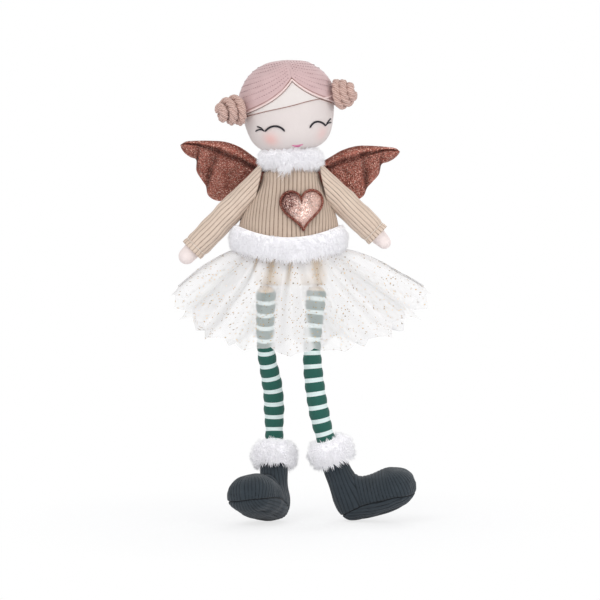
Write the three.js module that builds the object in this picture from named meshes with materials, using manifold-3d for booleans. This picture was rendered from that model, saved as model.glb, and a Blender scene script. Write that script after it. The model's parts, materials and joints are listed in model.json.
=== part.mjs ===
// A stuffed cloth angel doll in millimetres: +Z up, facing -Y, origin at the middle of its flat seat.
// "right" and "left" are the doll's own sides, so right lies at -X.
import * as THREE from 'three';
import { mergeVertices } from 'three/addons/utils/BufferGeometryUtils.js';
import Module from 'manifold-3d';

const wasm = await Module();
wasm.setup();

// Fits and cloth
const CLEAR = 0.3; // gap between pieces that touch
const SKIN = 1.6; // cloth wall of a stuffed piece
const KNIT = 2.4; // thickness of the ribbed pullover cloth
const TULLE = 1; // thickness of the layered skirt
const FELT = 2.4; // thickness of the hair
const HAIR_EASE = 1.2; // room between the head and the hair

// Stuffed body, from the seat up to the neck
const SEAT_HALF_WIDTH = 36;
const SEAT_HALF_DEPTH = 24;
const HIP_HEIGHT = 26;
const HIP_HALF_WIDTH = 38;
const HIP_HALF_DEPTH = 27;
const SHOULDER_HEIGHT = 107;
const SHOULDER_HALF_WIDTH = 26;
const SHOULDER_HALF_DEPTH = 19;
const NECK_BASE_HEIGHT = 119;
const NECK_RADIUS = 13;
const NECK_LENGTH = 19;

// Pullover
const HEM_HEIGHT_FRONT = 45;
const HEM_HEIGHT_SIDE = 56;
const HEM_HALF_WIDTH = 49;
const HEM_HALF_DEPTH = 36;

// Padded heart on the front of the pullover
const HEART_SIDE = 12.5; // from the middle, towards the doll's left
const HEART_HEIGHT = 75;
const HEART_WIDTH = 41;
const HEART_TALL = 39;
const HEART_CROWN = 7;
const HEART_RIM = 0.8;
const HEART_BACKING = 1.2;
const HEART_EDGE = 1.6; // how far the felt backing stands out round the cover
const HEART_TURN = 4; // degrees

// Fur trim
const COLLAR_HALF_WIDTH = 33;
const COLLAR_HALF_DEPTH = 29;
const COLLAR_DROP = 9; // below the base of the neck
const COLLAR_RISE = 18; // above the base of the neck
const HEM_FUR_THICKNESS = 8;
const HEM_FUR_RISE = 5; // above the edge of the pullover
const HEM_FUR_DROP = 26; // below the edge of the pullover
const HEM_FUR_LIFT = 0.8; // gap between the hem's fur and the skirt below it
const CUFF_FUR_RADIUS = 21;
const FUR_EDGE = 0.4; // share of a trim's thickness that is left at its edges
const COLLAR_EDGE = 0.55; // share of the collar's size that is left at its edges
const CUFF_FUR_RISE = 14; // above the ankle
const CUFF_FUR_DROP = 15; // below the ankle

// Skirt
const WAIST_HEIGHT = 36;
const WAISTBAND_HEIGHT = 10;
const WAISTBAND_THICKNESS = 2;
const SKIRT_REACH_RIGHT = 118;
const SKIRT_REACH_LEFT = 138;
const SKIRT_REACH_FRONT = 70;
const SKIRT_REACH_BACK = 56;
const SKIRT_SIDE_HEM = 2; // height of the hem at the sides
const SKIRT_FRONT_HEM = -66; // height of the hem in front and behind
const SKIRT_SIDE_BEND = 40; // height at which the sides turn outwards
const SKIRT_FRONT_BEND = -4; // height at which the front and back turn outwards
const SKIRT_SIDE_EASE = 1.55; // how much wider than the band the sides are where they turn
const SKIRT_FRONT_EASE = 1.08; // the same for the front and back
const SKIRT_SIDE_SHARE = 0.9; // power of the change from the side's hem to the front's
const SKIRT_FOLDS = 18;
const SKIRT_FOLD_DEPTH = 6;
const GORE_GAP = 0.9; // degrees between two gores

// Head and hair
const HEAD_HALF_WIDTH = 45;
const HEAD_HALF_DEPTH = 39;
const HEAD_HALF_HEIGHT = 43.5;
const CROWN_FULLNESS = 0.8; // 1 is an oval, and less is fuller
const JAW_FULLNESS = 0.5;
const JAW_ANGLE = 135; // degrees down from the top, where the head is as full as its jaw
const HEAD_OVER_NECK = 4.4; // how far the neck reaches into the head
const HEAD_TILT = 6; // degrees, towards the doll's right shoulder
const HEAD_TURN = 6; // degrees, towards the doll's left
const PART_ANGLE = 53; // degrees from the top of the head to the front of the centre part
const SWOOP_DROP = 33; // degrees that the hairline falls from the part to the ear
const SWOOP_SPREAD = 16; // degrees over which most of that fall happens
const NAPE_ANGLE = 136; // degrees from the top of the head to the hairline at the nape
const BUN_LOOPS = 3;
const BUN_CORD_RADIUS = 3.9;
const BUN_PITCH = 8.3;
const BUN_FIRST_LOOP = 12; // radius of the loop on the head
const BUN_LAST_LOOP = 6; // radius of the outermost loop
const BUN_HEIGHT = 5; // above the middle of the head
const BUN_FORWARD = 20; // degrees that each bun points forward of straight sideways

// Arms, from the shoulder to the tip of the hand
const ARM_RADIUS = 9.4;
const SLEEVE_RADIUS = 13.4;
const SHOULDER_JOINT_HEIGHT = 111;
const ARM_ROOT_SIDE = 24; // where the arm's middle line starts, inside the shoulder
const RIGHT_HAND_SIDE = 86;
const RIGHT_HAND_DROP = 88;
const LEFT_HAND_SIDE = 74;
const LEFT_HAND_DROP = 73;
const HAND_LENGTH = 16; // how far the hand shows past the sleeve
const ARM_SWELL = 0.12; // share of the radius gained half way along
const SLEEVE_SWELL = 0.14;
const SLEEVE_SWELL_RUN = 0.8; // share of a half wave that the sleeve's swell goes through

// Legs: the middle line's place to the side and behind the hip, at shares of the leg's length
const LEG_RADIUS = 10.3;
const LEG_LENGTH = 169;
const LEG_SWELL = 0.06; // share of the radius that comes and goes along the leg
const LEG_WAVES = 1.5;
const HIP_FORWARD = 12;
const LEG_SHARES = [0, 0.34, 0.62, 0.86, 1];
const RIGHT_LEG_SIDES = [-25, -25, -18, -17, -17];
const RIGHT_LEG_BACKS = [0, 16, 27, 30.5, 23.5];
const LEFT_LEG_SIDES = [25, 21, 25, 33, 41];
const LEFT_LEG_BACKS = [0, -2, -3, -1, 1];

// Boots
const SHAFT_RADIUS = 13.6;
const BOOT_HEIGHT = 69; // from the ankle down to the flat bottom of the upper
const FOOT_LENGTH = 86;
const HEEL_BEHIND = 15; // from the ankle's middle line to the back of the heel
const FOOT_HALF_WIDTH = 24;
const HEEL_HALF_WIDTH = 16;
const FOOT_HEIGHT = 42;
const FOOT_SQUARENESS = 3.4; // power of the rounding at the heel and the toe
const FOOT_CROWN = 0.8; // power of the rounding over the instep
const HEEL_SHARE = 0.1; // share of the foot's length where it starts to widen
const BALL_SHARE = 0.75; // share of the foot's length where it is widest
const SOLE_THICKNESS = 2.4;
const RIGHT_BOOT_TURN = -32; // degrees, toe to the doll's right
const LEFT_BOOT_TURN = 80; // degrees, toe to the doll's left

// Wings
const WING_SPAN = 105;
const WING_ROOT_GAP = 7; // from the middle of the back to the wing's seam
const WING_ROOT_LOW = 84;
const WING_ROOT_TALL = 30;
const WING_RISE = 31; // of the wing's top above the top of its seam
const WING_PANEL = 1.6;
const WING_PUFF = 1.4; // rounding of each panel's edge
const WADDING = 3;
const WADDING_INSET = 3; // from the wing's outline to its filling
const RIGHT_WING_ROLL = 0; // degrees
const LEFT_WING_ROLL = 4; // degrees

// Facets
const ROUND = 16; // sides of the body, the head and the trim
const LIMB = 10; // sides of a limb
const LOOP_STEPS = 24; // steps in one loop of a bun
const LOOP_SIDES = 6; // sides of the bun's cord

const TURN = Math.PI * 2;
const QUARTER = Math.PI / 2;
const { degToRad, lerp, smoothstep } = THREE.MathUtils;
const point = (x, y, z) => new THREE.Vector3(x, y, z);

// Triangles as a closed geometry: doubles merged, empty triangles dropped, faces pointing out
function closed(positions, triangles) {
  const loose = new THREE.BufferGeometry();
  loose.setAttribute('position', new THREE.Float32BufferAttribute(positions, 3));
  loose.setIndex(triangles);
  const merged = mergeVertices(loose, 1e-3);
  const place = merged.attributes.position;
  const corner = (vertex) => new THREE.Vector3().fromBufferAttribute(place, vertex);
  const kept = [];
  let volume = 0;
  for (let i = 0; i < triangles.length; i += 3) {
    const [a, b, c] = merged.index.array.slice(i, i + 3);
    if (a === b || b === c || c === a) continue;
    kept.push(a, b, c);
    volume += corner(a).dot(corner(b).cross(corner(c)));
  }
  merged.setIndex(volume < 0 ? kept.reverse() : kept);
  return merged;
}

// The body between two sheets, each a function of two shares from 0 to 1: u across and v along.
// A ring closes on itself across. A row that shrinks to a point closes there, and an inner sheet that
// shrinks to a line leaves a full solid with flat ends.
function between(outer, inner, across, along, ring = true) {
  const positions = [];
  const triangles = [];
  const columns = across + 1;
  const rows = along + 1;
  for (const sheet of [outer, inner]) {
    for (let j = 0; j < rows; j++) {
      for (let i = 0; i < columns; i++) {
        const u = ring ? (i % across) / across : i / across;
        positions.push(...sheet(u, j / along).toArray());
      }
    }
  }
  const out = (i, j) => j * columns + i;
  const into = (i, j) => (rows + j) * columns + i;
  const quad = (a, b, c, d) => triangles.push(a, b, c, a, c, d);
  for (let i = 0; i < across; i++) {
    for (let j = 0; j < along; j++) {
      quad(out(i, j), out(i + 1, j), out(i + 1, j + 1), out(i, j + 1));
      quad(into(i, j), into(i, j + 1), into(i + 1, j + 1), into(i + 1, j));
    }
    quad(out(i + 1, 0), out(i, 0), into(i, 0), into(i + 1, 0));
    quad(out(i, along), out(i + 1, along), into(i + 1, along), into(i, along));
  }
  for (let j = 0; j < along && !ring; j++) {
    quad(out(0, j), out(0, j + 1), into(0, j + 1), into(0, j));
    quad(out(across, j + 1), out(across, j), into(across, j), into(across, j + 1));
  }
  return closed(positions, triangles);
}

// Solids for cutting and joining
function solidOf(geometry) {
  const bare = new THREE.BufferGeometry();
  bare.setAttribute('position', geometry.attributes.position.clone());
  if (geometry.index) bare.setIndex(geometry.index);
  const merged = mergeVertices(bare, 1e-4);
  return new wasm.Manifold(new wasm.Mesh({
    numProp: 3,
    vertProperties: new Float32Array(merged.attributes.position.array),
    triVerts: new Uint32Array(merged.index.array),
  }));
}

function geometryOf(solid) {
  const mesh = solid.getMesh();
  const geometry = new THREE.BufferGeometry();
  geometry.setAttribute('position', new THREE.Float32BufferAttribute(mesh.vertProperties, 3));
  geometry.setIndex([...mesh.triVerts]);
  return geometry;
}

const cut = (piece, ...cutters) =>
  geometryOf(cutters.reduce((solid, cutter) => solid.subtract(solidOf(cutter)), solidOf(piece)));
const join = (piece, other) => geometryOf(solidOf(piece).add(solidOf(other)));
const common = (piece, other) => geometryOf(solidOf(piece).intersect(solidOf(other)));

// A stuffed piece: its cloth skin, open at one end, and the filling inside.
// shape(inset, longer) is the full form, drawn in by inset and made longer at its open end.
function stuffed(shape) {
  return { skin: cut(shape(0, 0), shape(SKIN, SKIN)), stuffing: shape(SKIN + CLEAR, 0) };
}

// The value at share v of a list of levels
function level(list, v) {
  const place = v * (list.length - 1);
  const below = Math.min(Math.floor(place), list.length - 2);
  return lerp(list[below], list[below + 1], place - below);
}

// The eased value at a height, from rows of [height, value] that rise
function eased(rows, height) {
  for (let i = 1; i < rows.length; i++) {
    const [low, from] = rows[i - 1];
    const [high, to] = rows[i];
    if (height <= high) return lerp(from, to, smoothstep(height, low, high));
  }
  return rows[rows.length - 1][1];
}

// A point of an upright oval, at an angle from the front that grows towards the doll's left
const oval = (halfWidth, halfDepth, angle, height) =>
  point(halfWidth * Math.sin(angle), -halfDepth * Math.cos(angle), height);
const upright = (u, height) => point(0, 0, height);

const doll = new THREE.Group();

function add(group, name, geometry, [color, roughness, metalness = 0]) {
  const material = new THREE.MeshStandardMaterial({ color, roughness, metalness });
  const mesh = new THREE.Mesh(geometry, material);
  mesh.name = name;
  group.add(mesh);
}

// Finishes: colour, roughness and metalness
const CANVAS = [0xece2de, 0.9];
const PINK_CLOTH = [0xf5e4de, 0.9];
const FIBRE = [0xf4f2ee, 1];
const BEIGE_KNIT = [0xc4b29b, 0.95];
const PINK_FELT = [0xd4b8b6, 0.95];
const ROPE = [0xc8a58c, 0.9];
const WHITE_FUR = [0xf0eef2, 1];
const CREAM_TULLE = [0xf5f3f2, 0.7];
const ROSE_GLITTER = [0xbe6e5f, 0.35, 0.7];
const DARK_FELT = [0x7a4338, 0.9];
const COPPER_GLITTER = [0x965041, 0.3, 0.8];
const GREEN_STRIPE = [0x2a6456, 0.9];
const SLATE_CORD = [0x374648, 0.95];

// Body
const NECK_TOP = NECK_BASE_HEIGHT + NECK_LENGTH;
const SHOULDER_LEVELS = [0, 0.35, 0.7, 1].map((v) => lerp(SHOULDER_HEIGHT, NECK_BASE_HEIGHT, v));
const BODY_LEVELS = [0.45, 1].map((v) => v * HIP_HEIGHT)
  .concat([0.33, 0.67].map((v) => lerp(HIP_HEIGHT, SHOULDER_HEIGHT, v)), SHOULDER_LEVELS);

const bodyHalfWidth = (height) => eased([
  [0, SEAT_HALF_WIDTH],
  [HIP_HEIGHT, HIP_HALF_WIDTH],
  [SHOULDER_HEIGHT, SHOULDER_HALF_WIDTH],
  [NECK_BASE_HEIGHT, NECK_RADIUS],
], height);
const bodyHalfDepth = (height) => eased([
  [0, SEAT_HALF_DEPTH],
  [HIP_HEIGHT, HIP_HALF_DEPTH],
  [SHOULDER_HEIGHT, SHOULDER_HALF_DEPTH],
  [NECK_BASE_HEIGHT, NECK_RADIUS],
], height);

function bodyForm(inset, longer) {
  const levels = [inset, ...BODY_LEVELS, NECK_TOP + longer];
  const sheet = (u, v) => {
    const height = level(levels, v);
    return oval(bodyHalfWidth(height) - inset, bodyHalfDepth(height) - inset, u * TURN, height);
  };
  return between(sheet, (u, v) => upright(u, level(levels, v)), ROUND, levels.length - 1);
}

const body = stuffed(bodyForm);
add(doll, 'body_skin', body.skin, BEIGE_KNIT);
add(doll, 'body_stuffing', body.stuffing, FIBRE);

// Pullover: close to the body at the shoulders, flared down to the hem
const shoulderFit = CLEAR + KNIT;
const flareShare = (height) => (SHOULDER_HEIGHT - height) / (SHOULDER_HEIGHT - HEM_HEIGHT_FRONT);
const pulloverHalfWidth = (height) => (height >= SHOULDER_HEIGHT
  ? bodyHalfWidth(height) + shoulderFit
  : lerp(SHOULDER_HALF_WIDTH + shoulderFit, HEM_HALF_WIDTH, flareShare(height)));
const pulloverHalfDepth = (height) => (height >= SHOULDER_HEIGHT
  ? bodyHalfDepth(height) + shoulderFit
  : lerp(SHOULDER_HALF_DEPTH + shoulderFit, HEM_HALF_DEPTH, flareShare(height)));
const hemHeight = (angle) =>
  lerp(HEM_HEIGHT_SIDE, HEM_HEIGHT_FRONT, Math.max(0, Math.cos(angle)) ** 2);

function pulloverSheet(angleAt, grow) {
  return (u, v) => {
    const angle = angleAt(u);
    const height = level([hemHeight(angle), ...SHOULDER_LEVELS], v);
    return oval(pulloverHalfWidth(height) + grow, pulloverHalfDepth(height) + grow, angle, height);
  };
}

function pulloverPanel(facing) {
  const seam = CLEAR / 2 / HEM_HALF_DEPTH;
  const reach = QUARTER - seam;
  const angleAt = (u) => facing + THREE.MathUtils.clamp((u * 2 - 1) * QUARTER, -reach, reach);
  return between(
    pulloverSheet(angleAt, 0), pulloverSheet(angleAt, -KNIT), ROUND / 2, SHOULDER_LEVELS.length, false);
}

// The pullover as a full solid, for what is fitted round it
function pulloverForm(grow) {
  const sheet = pulloverSheet((u) => u * TURN, grow);
  return between(sheet, (u, v) => upright(u, sheet(u, v).z), ROUND, SHOULDER_LEVELS.length);
}

add(doll, 'sweater_front', pulloverPanel(0), BEIGE_KNIT);
add(doll, 'sweater_back', pulloverPanel(Math.PI), BEIGE_KNIT);

// The arms meet the pullover on a cone round the shoulder's swing, so that they clear it as they swing
const flare = (HEM_HALF_WIDTH - SHOULDER_HALF_WIDTH - shoulderFit) / (SHOULDER_HEIGHT - HEM_HEIGHT_FRONT);

function shoulderCone(side, nearer) {
  const fit = shoulderFit + CLEAR - nearer;
  const tip = SHOULDER_HALF_WIDTH + fit - flare * (SHOULDER_JOINT_HEIGHT - SHOULDER_HEIGHT);
  const reach = RIGHT_HAND_SIDE + LEFT_HAND_SIDE;
  return new THREE.ConeGeometry(reach / flare, reach, ROUND * 2)
    .rotateZ(side * QUARTER)
    .translate(side * (tip + reach / 2), 0, SHOULDER_JOINT_HEIGHT);
}

// Heart: both layers follow the front of the pullover
function heartOutline(share, wider) {
  const t = share * TURN;
  const across = Math.sin(t) ** 3;
  const up = (13 * Math.cos(t) - 5 * Math.cos(2 * t) - 2 * Math.cos(3 * t) - Math.cos(4 * t) + 2.5) / 29;
  return new THREE.Vector2(across * (HEART_WIDTH / 2 + wider), up * (HEART_TALL + 2 * wider));
}

function heartSheet(wider, standOff, vLevels) {
  const middle = new THREE.Vector2();
  return (u, v) => {
    const share = level(vLevels, v);
    const flat = heartOutline(u, wider).multiplyScalar(share).rotateAround(middle, degToRad(HEART_TURN));
    const x = HEART_SIDE + flat.x;
    const z = HEART_HEIGHT + flat.y;
    const depth = pulloverHalfDepth(z) * Math.sqrt(1 - (x / pulloverHalfWidth(z)) ** 2);
    return point(x, -depth - standOff(share), z);
  };
}

const HEART_LEVELS = [0, 0.4, 0.8, 1];
const HEART_STEPS = 20;
const heartSeat = CLEAR + HEART_BACKING + CLEAR;
const heartCrown = (share) => heartSeat + HEART_RIM + HEART_CROWN * Math.sqrt(1 - share ** 2);
const heartLayer = (wider, outside, inside) => between(
  heartSheet(wider, outside, HEART_LEVELS), heartSheet(wider, inside, HEART_LEVELS),
  HEART_STEPS, HEART_LEVELS.length - 1);
const heartBacking = heartLayer(HEART_EDGE, () => CLEAR + HEART_BACKING, () => CLEAR);
const heartUnderside = heartLayer(HEART_EDGE, () => heartSeat, () => -HEART_CROWN);
add(doll, 'heart_backing', cut(heartBacking, pulloverForm(CLEAR)), DARK_FELT);
add(doll, 'heart_cover', cut(heartLayer(0, heartCrown, () => CLEAR), heartUnderside), ROSE_GLITTER);

// A bulge for fur trim: 0 at both edges and 1 in the middle
const bulge = (v) => Math.sqrt(1 - (2 * v - 1) ** 2);
const TRIM_ROWS = 4;
const roundLevels = Array.from(
  { length: TRIM_ROWS + 1 },
  (_, n) => (1 - Math.cos((n / TRIM_ROWS) * Math.PI)) / 2);

// Fur round the pullover's hem
function hemFurSheet(thickness) {
  return (u, v) => {
    const angle = u * TURN;
    const share = level(roundLevels, v);
    const height = hemHeight(angle) + lerp(-HEM_FUR_DROP, HEM_FUR_RISE, share);
    const out = CLEAR + thickness * lerp(FUR_EDGE, 1, bulge(share));
    return oval(HEM_HALF_WIDTH + out, HEM_HALF_DEPTH + out, angle, height);
  };
}

// Skirt: gathered on a band round the waist, with folds that deepen towards the hem
const bandFit = CLEAR + WAISTBAND_THICKNESS;
function waistSheet(grow) {
  return (u, v) => {
    const height = WAIST_HEIGHT - WAISTBAND_HEIGHT * (1 - v);
    return oval(bodyHalfWidth(height) + grow, bodyHalfDepth(height) + grow, u * TURN, height);
  };
}
add(doll, 'skirt_waistband', between(waistSheet(bandFit), waistSheet(CLEAR), ROUND, 1), CREAM_TULLE);

// The skirt's middle surface without folds: a curve from the band, down and then outwards to the hem
function skirtDrape(angle, v) {
  const side = Math.sin(angle);
  const front = Math.cos(angle);
  const steep = Math.abs(front) ** SKIRT_SIDE_SHARE;
  const fit = bandFit + CLEAR + TULLE / 2;
  const halfWidth = bodyHalfWidth(WAIST_HEIGHT) + fit;
  const halfDepth = bodyHalfDepth(WAIST_HEIGHT) + fit;
  const top = oval(halfWidth, halfDepth, angle, WAIST_HEIGHT);
  const bend = top.clone()
    .multiplyScalar(lerp(SKIRT_SIDE_EASE, SKIRT_FRONT_EASE, steep))
    .setZ(lerp(SKIRT_SIDE_BEND, SKIRT_FRONT_BEND, steep));
  const hem = point(
    side * (side < 0 ? SKIRT_REACH_RIGHT : SKIRT_REACH_LEFT),
    -front * (front > 0 ? SKIRT_REACH_FRONT : SKIRT_REACH_BACK),
    lerp(SKIRT_SIDE_HEM, SKIRT_FRONT_HEM, steep));
  return new THREE.QuadraticBezierCurve3(top, bend, hem).getPoint(v);
}

function skirtSheet(from, to, offset) {
  const step = 1e-3;
  return (u, v) => {
    const angle = lerp(from, to, u);
    const here = skirtDrape(angle, v);
    const along = skirtDrape(angle, v + step).sub(skirtDrape(angle, v - step));
    const across = skirtDrape(angle + step, v).sub(skirtDrape(angle - step, v));
    const fold = SKIRT_FOLD_DEPTH * v * Math.cos(SKIRT_FOLDS * angle);
    return here.addScaledVector(along.cross(across).normalize(), fold + offset);
  };
}

const GORE_ROWS = 4;
const STEPS_PER_FOLD = 6;
const GORES = { // degrees from the front, towards the doll's left
  skirt_front: [-24, 24],
  skirt_left_front: [24, 66],
  skirt_left_side: [66, 122],
  skirt_back: [122, 238],
  skirt_right_side: [238, 294],
  skirt_right_front: [294, 336],
};
for (const [name, [from, to]] of Object.entries(GORES)) {
  const ends = [degToRad(from + GORE_GAP / 2), degToRad(to - GORE_GAP / 2)];
  const steps = Math.round(((to - from) / 360) * SKIRT_FOLDS * STEPS_PER_FOLD);
  const outer = skirtSheet(...ends, TULLE / 2);
  const inner = skirtSheet(...ends, -TULLE / 2);
  add(doll, name, between(outer, inner, steps, GORE_ROWS, false), CREAM_TULLE);
}

// The fur lies over the skirt: what reaches below the skirt's surface is cut away
function underSkirt(offset) {
  const foot = SKIRT_FRONT_HEM - SKIRT_REACH_FRONT;
  const sheet = skirtSheet(0, TURN, offset);
  const spine = (u, v) => upright(u, lerp(WAIST_HEIGHT, foot, v));
  return between(sheet, spine, SKIRT_FOLDS * STEPS_PER_FOLD, GORE_ROWS);
}
const hemFur = between(hemFurSheet(HEM_FUR_THICKNESS), hemFurSheet(0), ROUND, TRIM_ROWS);
add(doll, 'fur_hem', cut(hemFur, underSkirt(TULLE / 2 + HEM_FUR_LIFT)), WHITE_FUR);

// Head, in its own frame: origin where it sits on the neck, tilted and turned
const head = new THREE.Group();
head.position.set(0, 0, NECK_TOP - HEAD_OVER_NECK);
head.rotation.set(0, -degToRad(HEAD_TILT), degToRad(HEAD_TURN), 'YZX');
doll.add(head);

// How far out the head reaches at an angle down from the top, as a share of its half width
function headReach(down) {
  const jaw = smoothstep(down, QUARTER, degToRad(JAW_ANGLE));
  return Math.max(0, Math.sin(down)) ** lerp(CROWN_FULLNESS, JAW_FULLNESS, jaw);
}

const headHeight = (down, grow) => HEAD_HALF_HEIGHT + (HEAD_HALF_HEIGHT + grow) * Math.cos(down);

// A point of the head at an angle round from the front and an angle down from the top
const headPoint = (round, down, grow) => oval(
  (HEAD_HALF_WIDTH + grow) * headReach(down),
  (HEAD_HALF_DEPTH + grow) * headReach(down),
  round,
  headHeight(down, grow));
const HEAD_ROWS = 12;

function headForm(inset) {
  const sheet = (u, v) => headPoint(u * TURN, v * Math.PI, -inset);
  return between(sheet, (u, v) => upright(u, sheet(u, v).z), ROUND, HEAD_ROWS);
}

// A round pin along Z
function pin(radius, low, high) {
  return new THREE.CylinderGeometry(radius, radius, high - low, ROUND)
    .rotateX(QUARTER).translate(0, 0, (low + high) / 2);
}

const neckLean = (NECK_RADIUS + HEAD_OVER_NECK) * Math.sin(degToRad(HEAD_TILT));
const neckHole = pin(NECK_RADIUS + neckLean + CLEAR, -HEAD_HALF_HEIGHT, HEAD_OVER_NECK + neckLean + CLEAR);
const headParts = stuffed(headForm);
add(head, 'head_skin', cut(headParts.skin, neckHole), CANVAS);
add(head, 'head_stuffing', cut(headParts.stuffing, neckHole), FIBRE);

// Fur collar: round the neck, hollowed above by the turning head and below by the shoulders
function collar() {
  const ring = between((u, v) => {
    const share = level(roundLevels, v);
    const grow = lerp(COLLAR_EDGE, 1, bulge(share));
    const height = NECK_BASE_HEIGHT + lerp(-COLLAR_DROP, COLLAR_RISE, share);
    return oval(COLLAR_HALF_WIDTH * grow, COLLAR_HALF_DEPTH * grow, u * TURN, height);
  }, (u, v) => {
    const fit = NECK_RADIUS + CLEAR;
    const share = level(roundLevels, v);
    return oval(fit, fit, u * TURN, NECK_BASE_HEIGHT + lerp(-COLLAR_DROP, COLLAR_RISE, share));
  }, ROUND, TRIM_ROWS);
  head.updateMatrix();
  const turningSheet = (u, v) => {
    const reach = (HEAD_HALF_WIDTH + CLEAR) * headReach(v * Math.PI);
    return oval(reach, reach, u * TURN, headHeight(v * Math.PI, CLEAR));
  };
  const turningHead = between(turningSheet, (u, v) => upright(u, turningSheet(u, v).z), ROUND, 2 * HEAD_ROWS)
    .applyMatrix4(head.matrix);
  return cut(ring, pulloverForm(CLEAR), turningHead, shoulderCone(-1, CLEAR), shoulderCone(1, CLEAR));
}
add(doll, 'fur_collar', collar(), WHITE_FUR);

// Hair: a cap over the back of the head, and a swoop on each side of the centre part
const hairline = (round) => (round <= QUARTER
  ? degToRad(PART_ANGLE + SWOOP_DROP * (1 - Math.exp(-round / degToRad(SWOOP_SPREAD))))
  : lerp(hairline(QUARTER), degToRad(NAPE_ANGLE), smoothstep(round, QUARTER, Math.PI)));

function hairSheet(from, to, grow) {
  return (u, v) => {
    const round = lerp(from, to, u);
    return headPoint(round, v * hairline(Math.abs(round > Math.PI ? TURN - round : round)), grow);
  };
}

const HAIR_STEPS = 7; // facets in a quarter of the way round, and from the top to the hairline
const hairWidth = HEAD_HALF_WIDTH + HAIR_EASE + FELT;
const hairHeight = HEAD_HALF_HEIGHT + HAIR_EASE + FELT;
const hairPiece = (from, to, steps) => between(
  hairSheet(from, to, HAIR_EASE + FELT), hairSheet(from, to, HAIR_EASE), steps, HAIR_STEPS, false);
const seam = new THREE.BoxGeometry(2 * hairWidth, CLEAR, 4 * hairHeight);
add(head, 'hair_cap', cut(hairPiece(QUARTER, 3 * QUARTER, 2 * HAIR_STEPS), seam), PINK_FELT);
for (const [name, side] of [['right', -1], ['left', 1]]) {
  const part = seam.clone().rotateZ(QUARTER);
  add(head, `hair_${name}_swoop`, cut(hairPiece(0, side * QUARTER, HAIR_STEPS), seam, part), PINK_FELT);
}

// Buns: one cord wound outwards from the side of the head in loops that get smaller
const hairDepth = HEAD_HALF_DEPTH + HAIR_EASE + FELT;
const bunAngle = QUARTER - degToRad(BUN_FORWARD);

// How far out a cord that rests on the hair has its middle, at a distance behind a bun's axis and above
// the middle of the head
const bunSeatWidth = Math.hypot(hairWidth * Math.sin(bunAngle), hairDepth * Math.cos(bunAngle));
const bunSeatDepth = Math.hypot(hairDepth * Math.sin(bunAngle), hairWidth * Math.cos(bunAngle));

function cordReach(back, up) {
  const level = 1 - (up / hairHeight) ** 2;
  const hair = bunSeatWidth * Math.sqrt(level ** CROWN_FULLNESS - (back / bunSeatDepth) ** 2);
  const rise = CROWN_FULLNESS * level ** (CROWN_FULLNESS - 1) * up / hairHeight ** 2;
  const slope = point(hair / bunSeatWidth ** 2, back / bunSeatDepth ** 2, rise).normalize();
  return hair + (CLEAR + BUN_CORD_RADIUS) / slope.x;
}

function bunLoops(side, v) {
  const radius = lerp(BUN_FIRST_LOOP, BUN_LAST_LOOP, v);
  const angle = v * BUN_LOOPS * TURN;
  const up = BUN_HEIGHT + side * radius * Math.sin(angle);
  return point(v * BUN_LOOPS * BUN_PITCH, radius * Math.cos(angle), up);
}

// The middle line of a bun's cord, with its first loop seated on the hair
function bunLine(side) {
  const first = Array.from({ length: LOOP_STEPS }, (_, n) => bunLoops(side, n / LOOP_STEPS / BUN_LOOPS));
  const seat = Math.max(...first.map(({ x, y, z }) => cordReach(y, z) - x));
  return (v) => {
    const place = bunLoops(side, v);
    return place.setX(side * (seat + place.x));
  };
}

function bun(side) {
  const line = bunLine(side);
  const step = 1e-4;
  const steps = BUN_LOOPS * LOOP_STEPS;
  const axis = point(1, 0, 0);
  const cord = (u, v) => {
    const along = line(v + step).sub(line(v - step)).normalize();
    const out = along.clone().cross(axis).normalize();
    const up = out.clone().cross(along);
    const angle = u * TURN;
    return line(v)
      .addScaledVector(out, BUN_CORD_RADIUS * Math.cos(angle))
      .addScaledVector(up, BUN_CORD_RADIUS * Math.sin(angle));
  };
  return between(cord, (u, v) => line(v), LOOP_SIDES, steps);
}

// The least gap of a bun's cord to itself, on points half a loop or more apart along it
function leastBunGap(side) {
  const samples = BUN_LOOPS * LOOP_STEPS * 4;
  const points = Array.from({ length: samples + 1 }, (_, n) => bunLine(side)(n / samples));
  const apart = LOOP_STEPS * 2;
  let least = Infinity;
  for (let i = 0; i < points.length; i++) {
    for (let j = i + apart; j < points.length; j++) {
      least = Math.min(least, points[i].distanceTo(points[j]));
    }
  }
  return least - 2 * BUN_CORD_RADIUS;
}

for (const [name, side] of [['right', -1], ['left', 1]]) {
  const place = bun(side).rotateZ(-side * degToRad(BUN_FORWARD)).translate(0, 0, HEAD_HALF_HEIGHT);
  add(head, `${name}_hair_bun`, place, ROPE);
  console.log(`${name} hair bun: least gap to itself ${leastBunGap(side).toFixed(2)} mm`);
}

// A round limb along a path: shares of its length, and a radius for each distance along it
function limbForm(path, distances, radiusAt) {
  const length = path.getLength();
  const share = (v) => level(distances, v) / length;
  const sheet = (u, v) => {
    const along = path.getTangentAt(Math.min(share(v), 1));
    const side = point(0, 1, 0).cross(along).normalize();
    const front = along.clone().cross(side);
    const radius = radiusAt(level(distances, v));
    return limbPoint(path, share(v))
      .addScaledVector(side, radius * Math.cos(u * TURN))
      .addScaledVector(front, radius * Math.sin(u * TURN));
  };
  return between(sheet, (u, v) => limbPoint(path, share(v)), LIMB, distances.length - 1);
}

// A point of a path, carried straight on past its end
function limbPoint(path, share) {
  const past = Math.max(0, share - 1) * path.getLength();
  return path.getPointAt(Math.min(share, 1)).addScaledVector(path.getTangentAt(1), past);
}

// The radius of a round end: 0 at the tip, full after one radius
const roundEnd = (distance, radius) => radius * Math.sqrt(1 - Math.max(0, 1 - distance / radius) ** 2);
const ROUND_SHARES = [0, 0.14, 0.5, 1];

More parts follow.
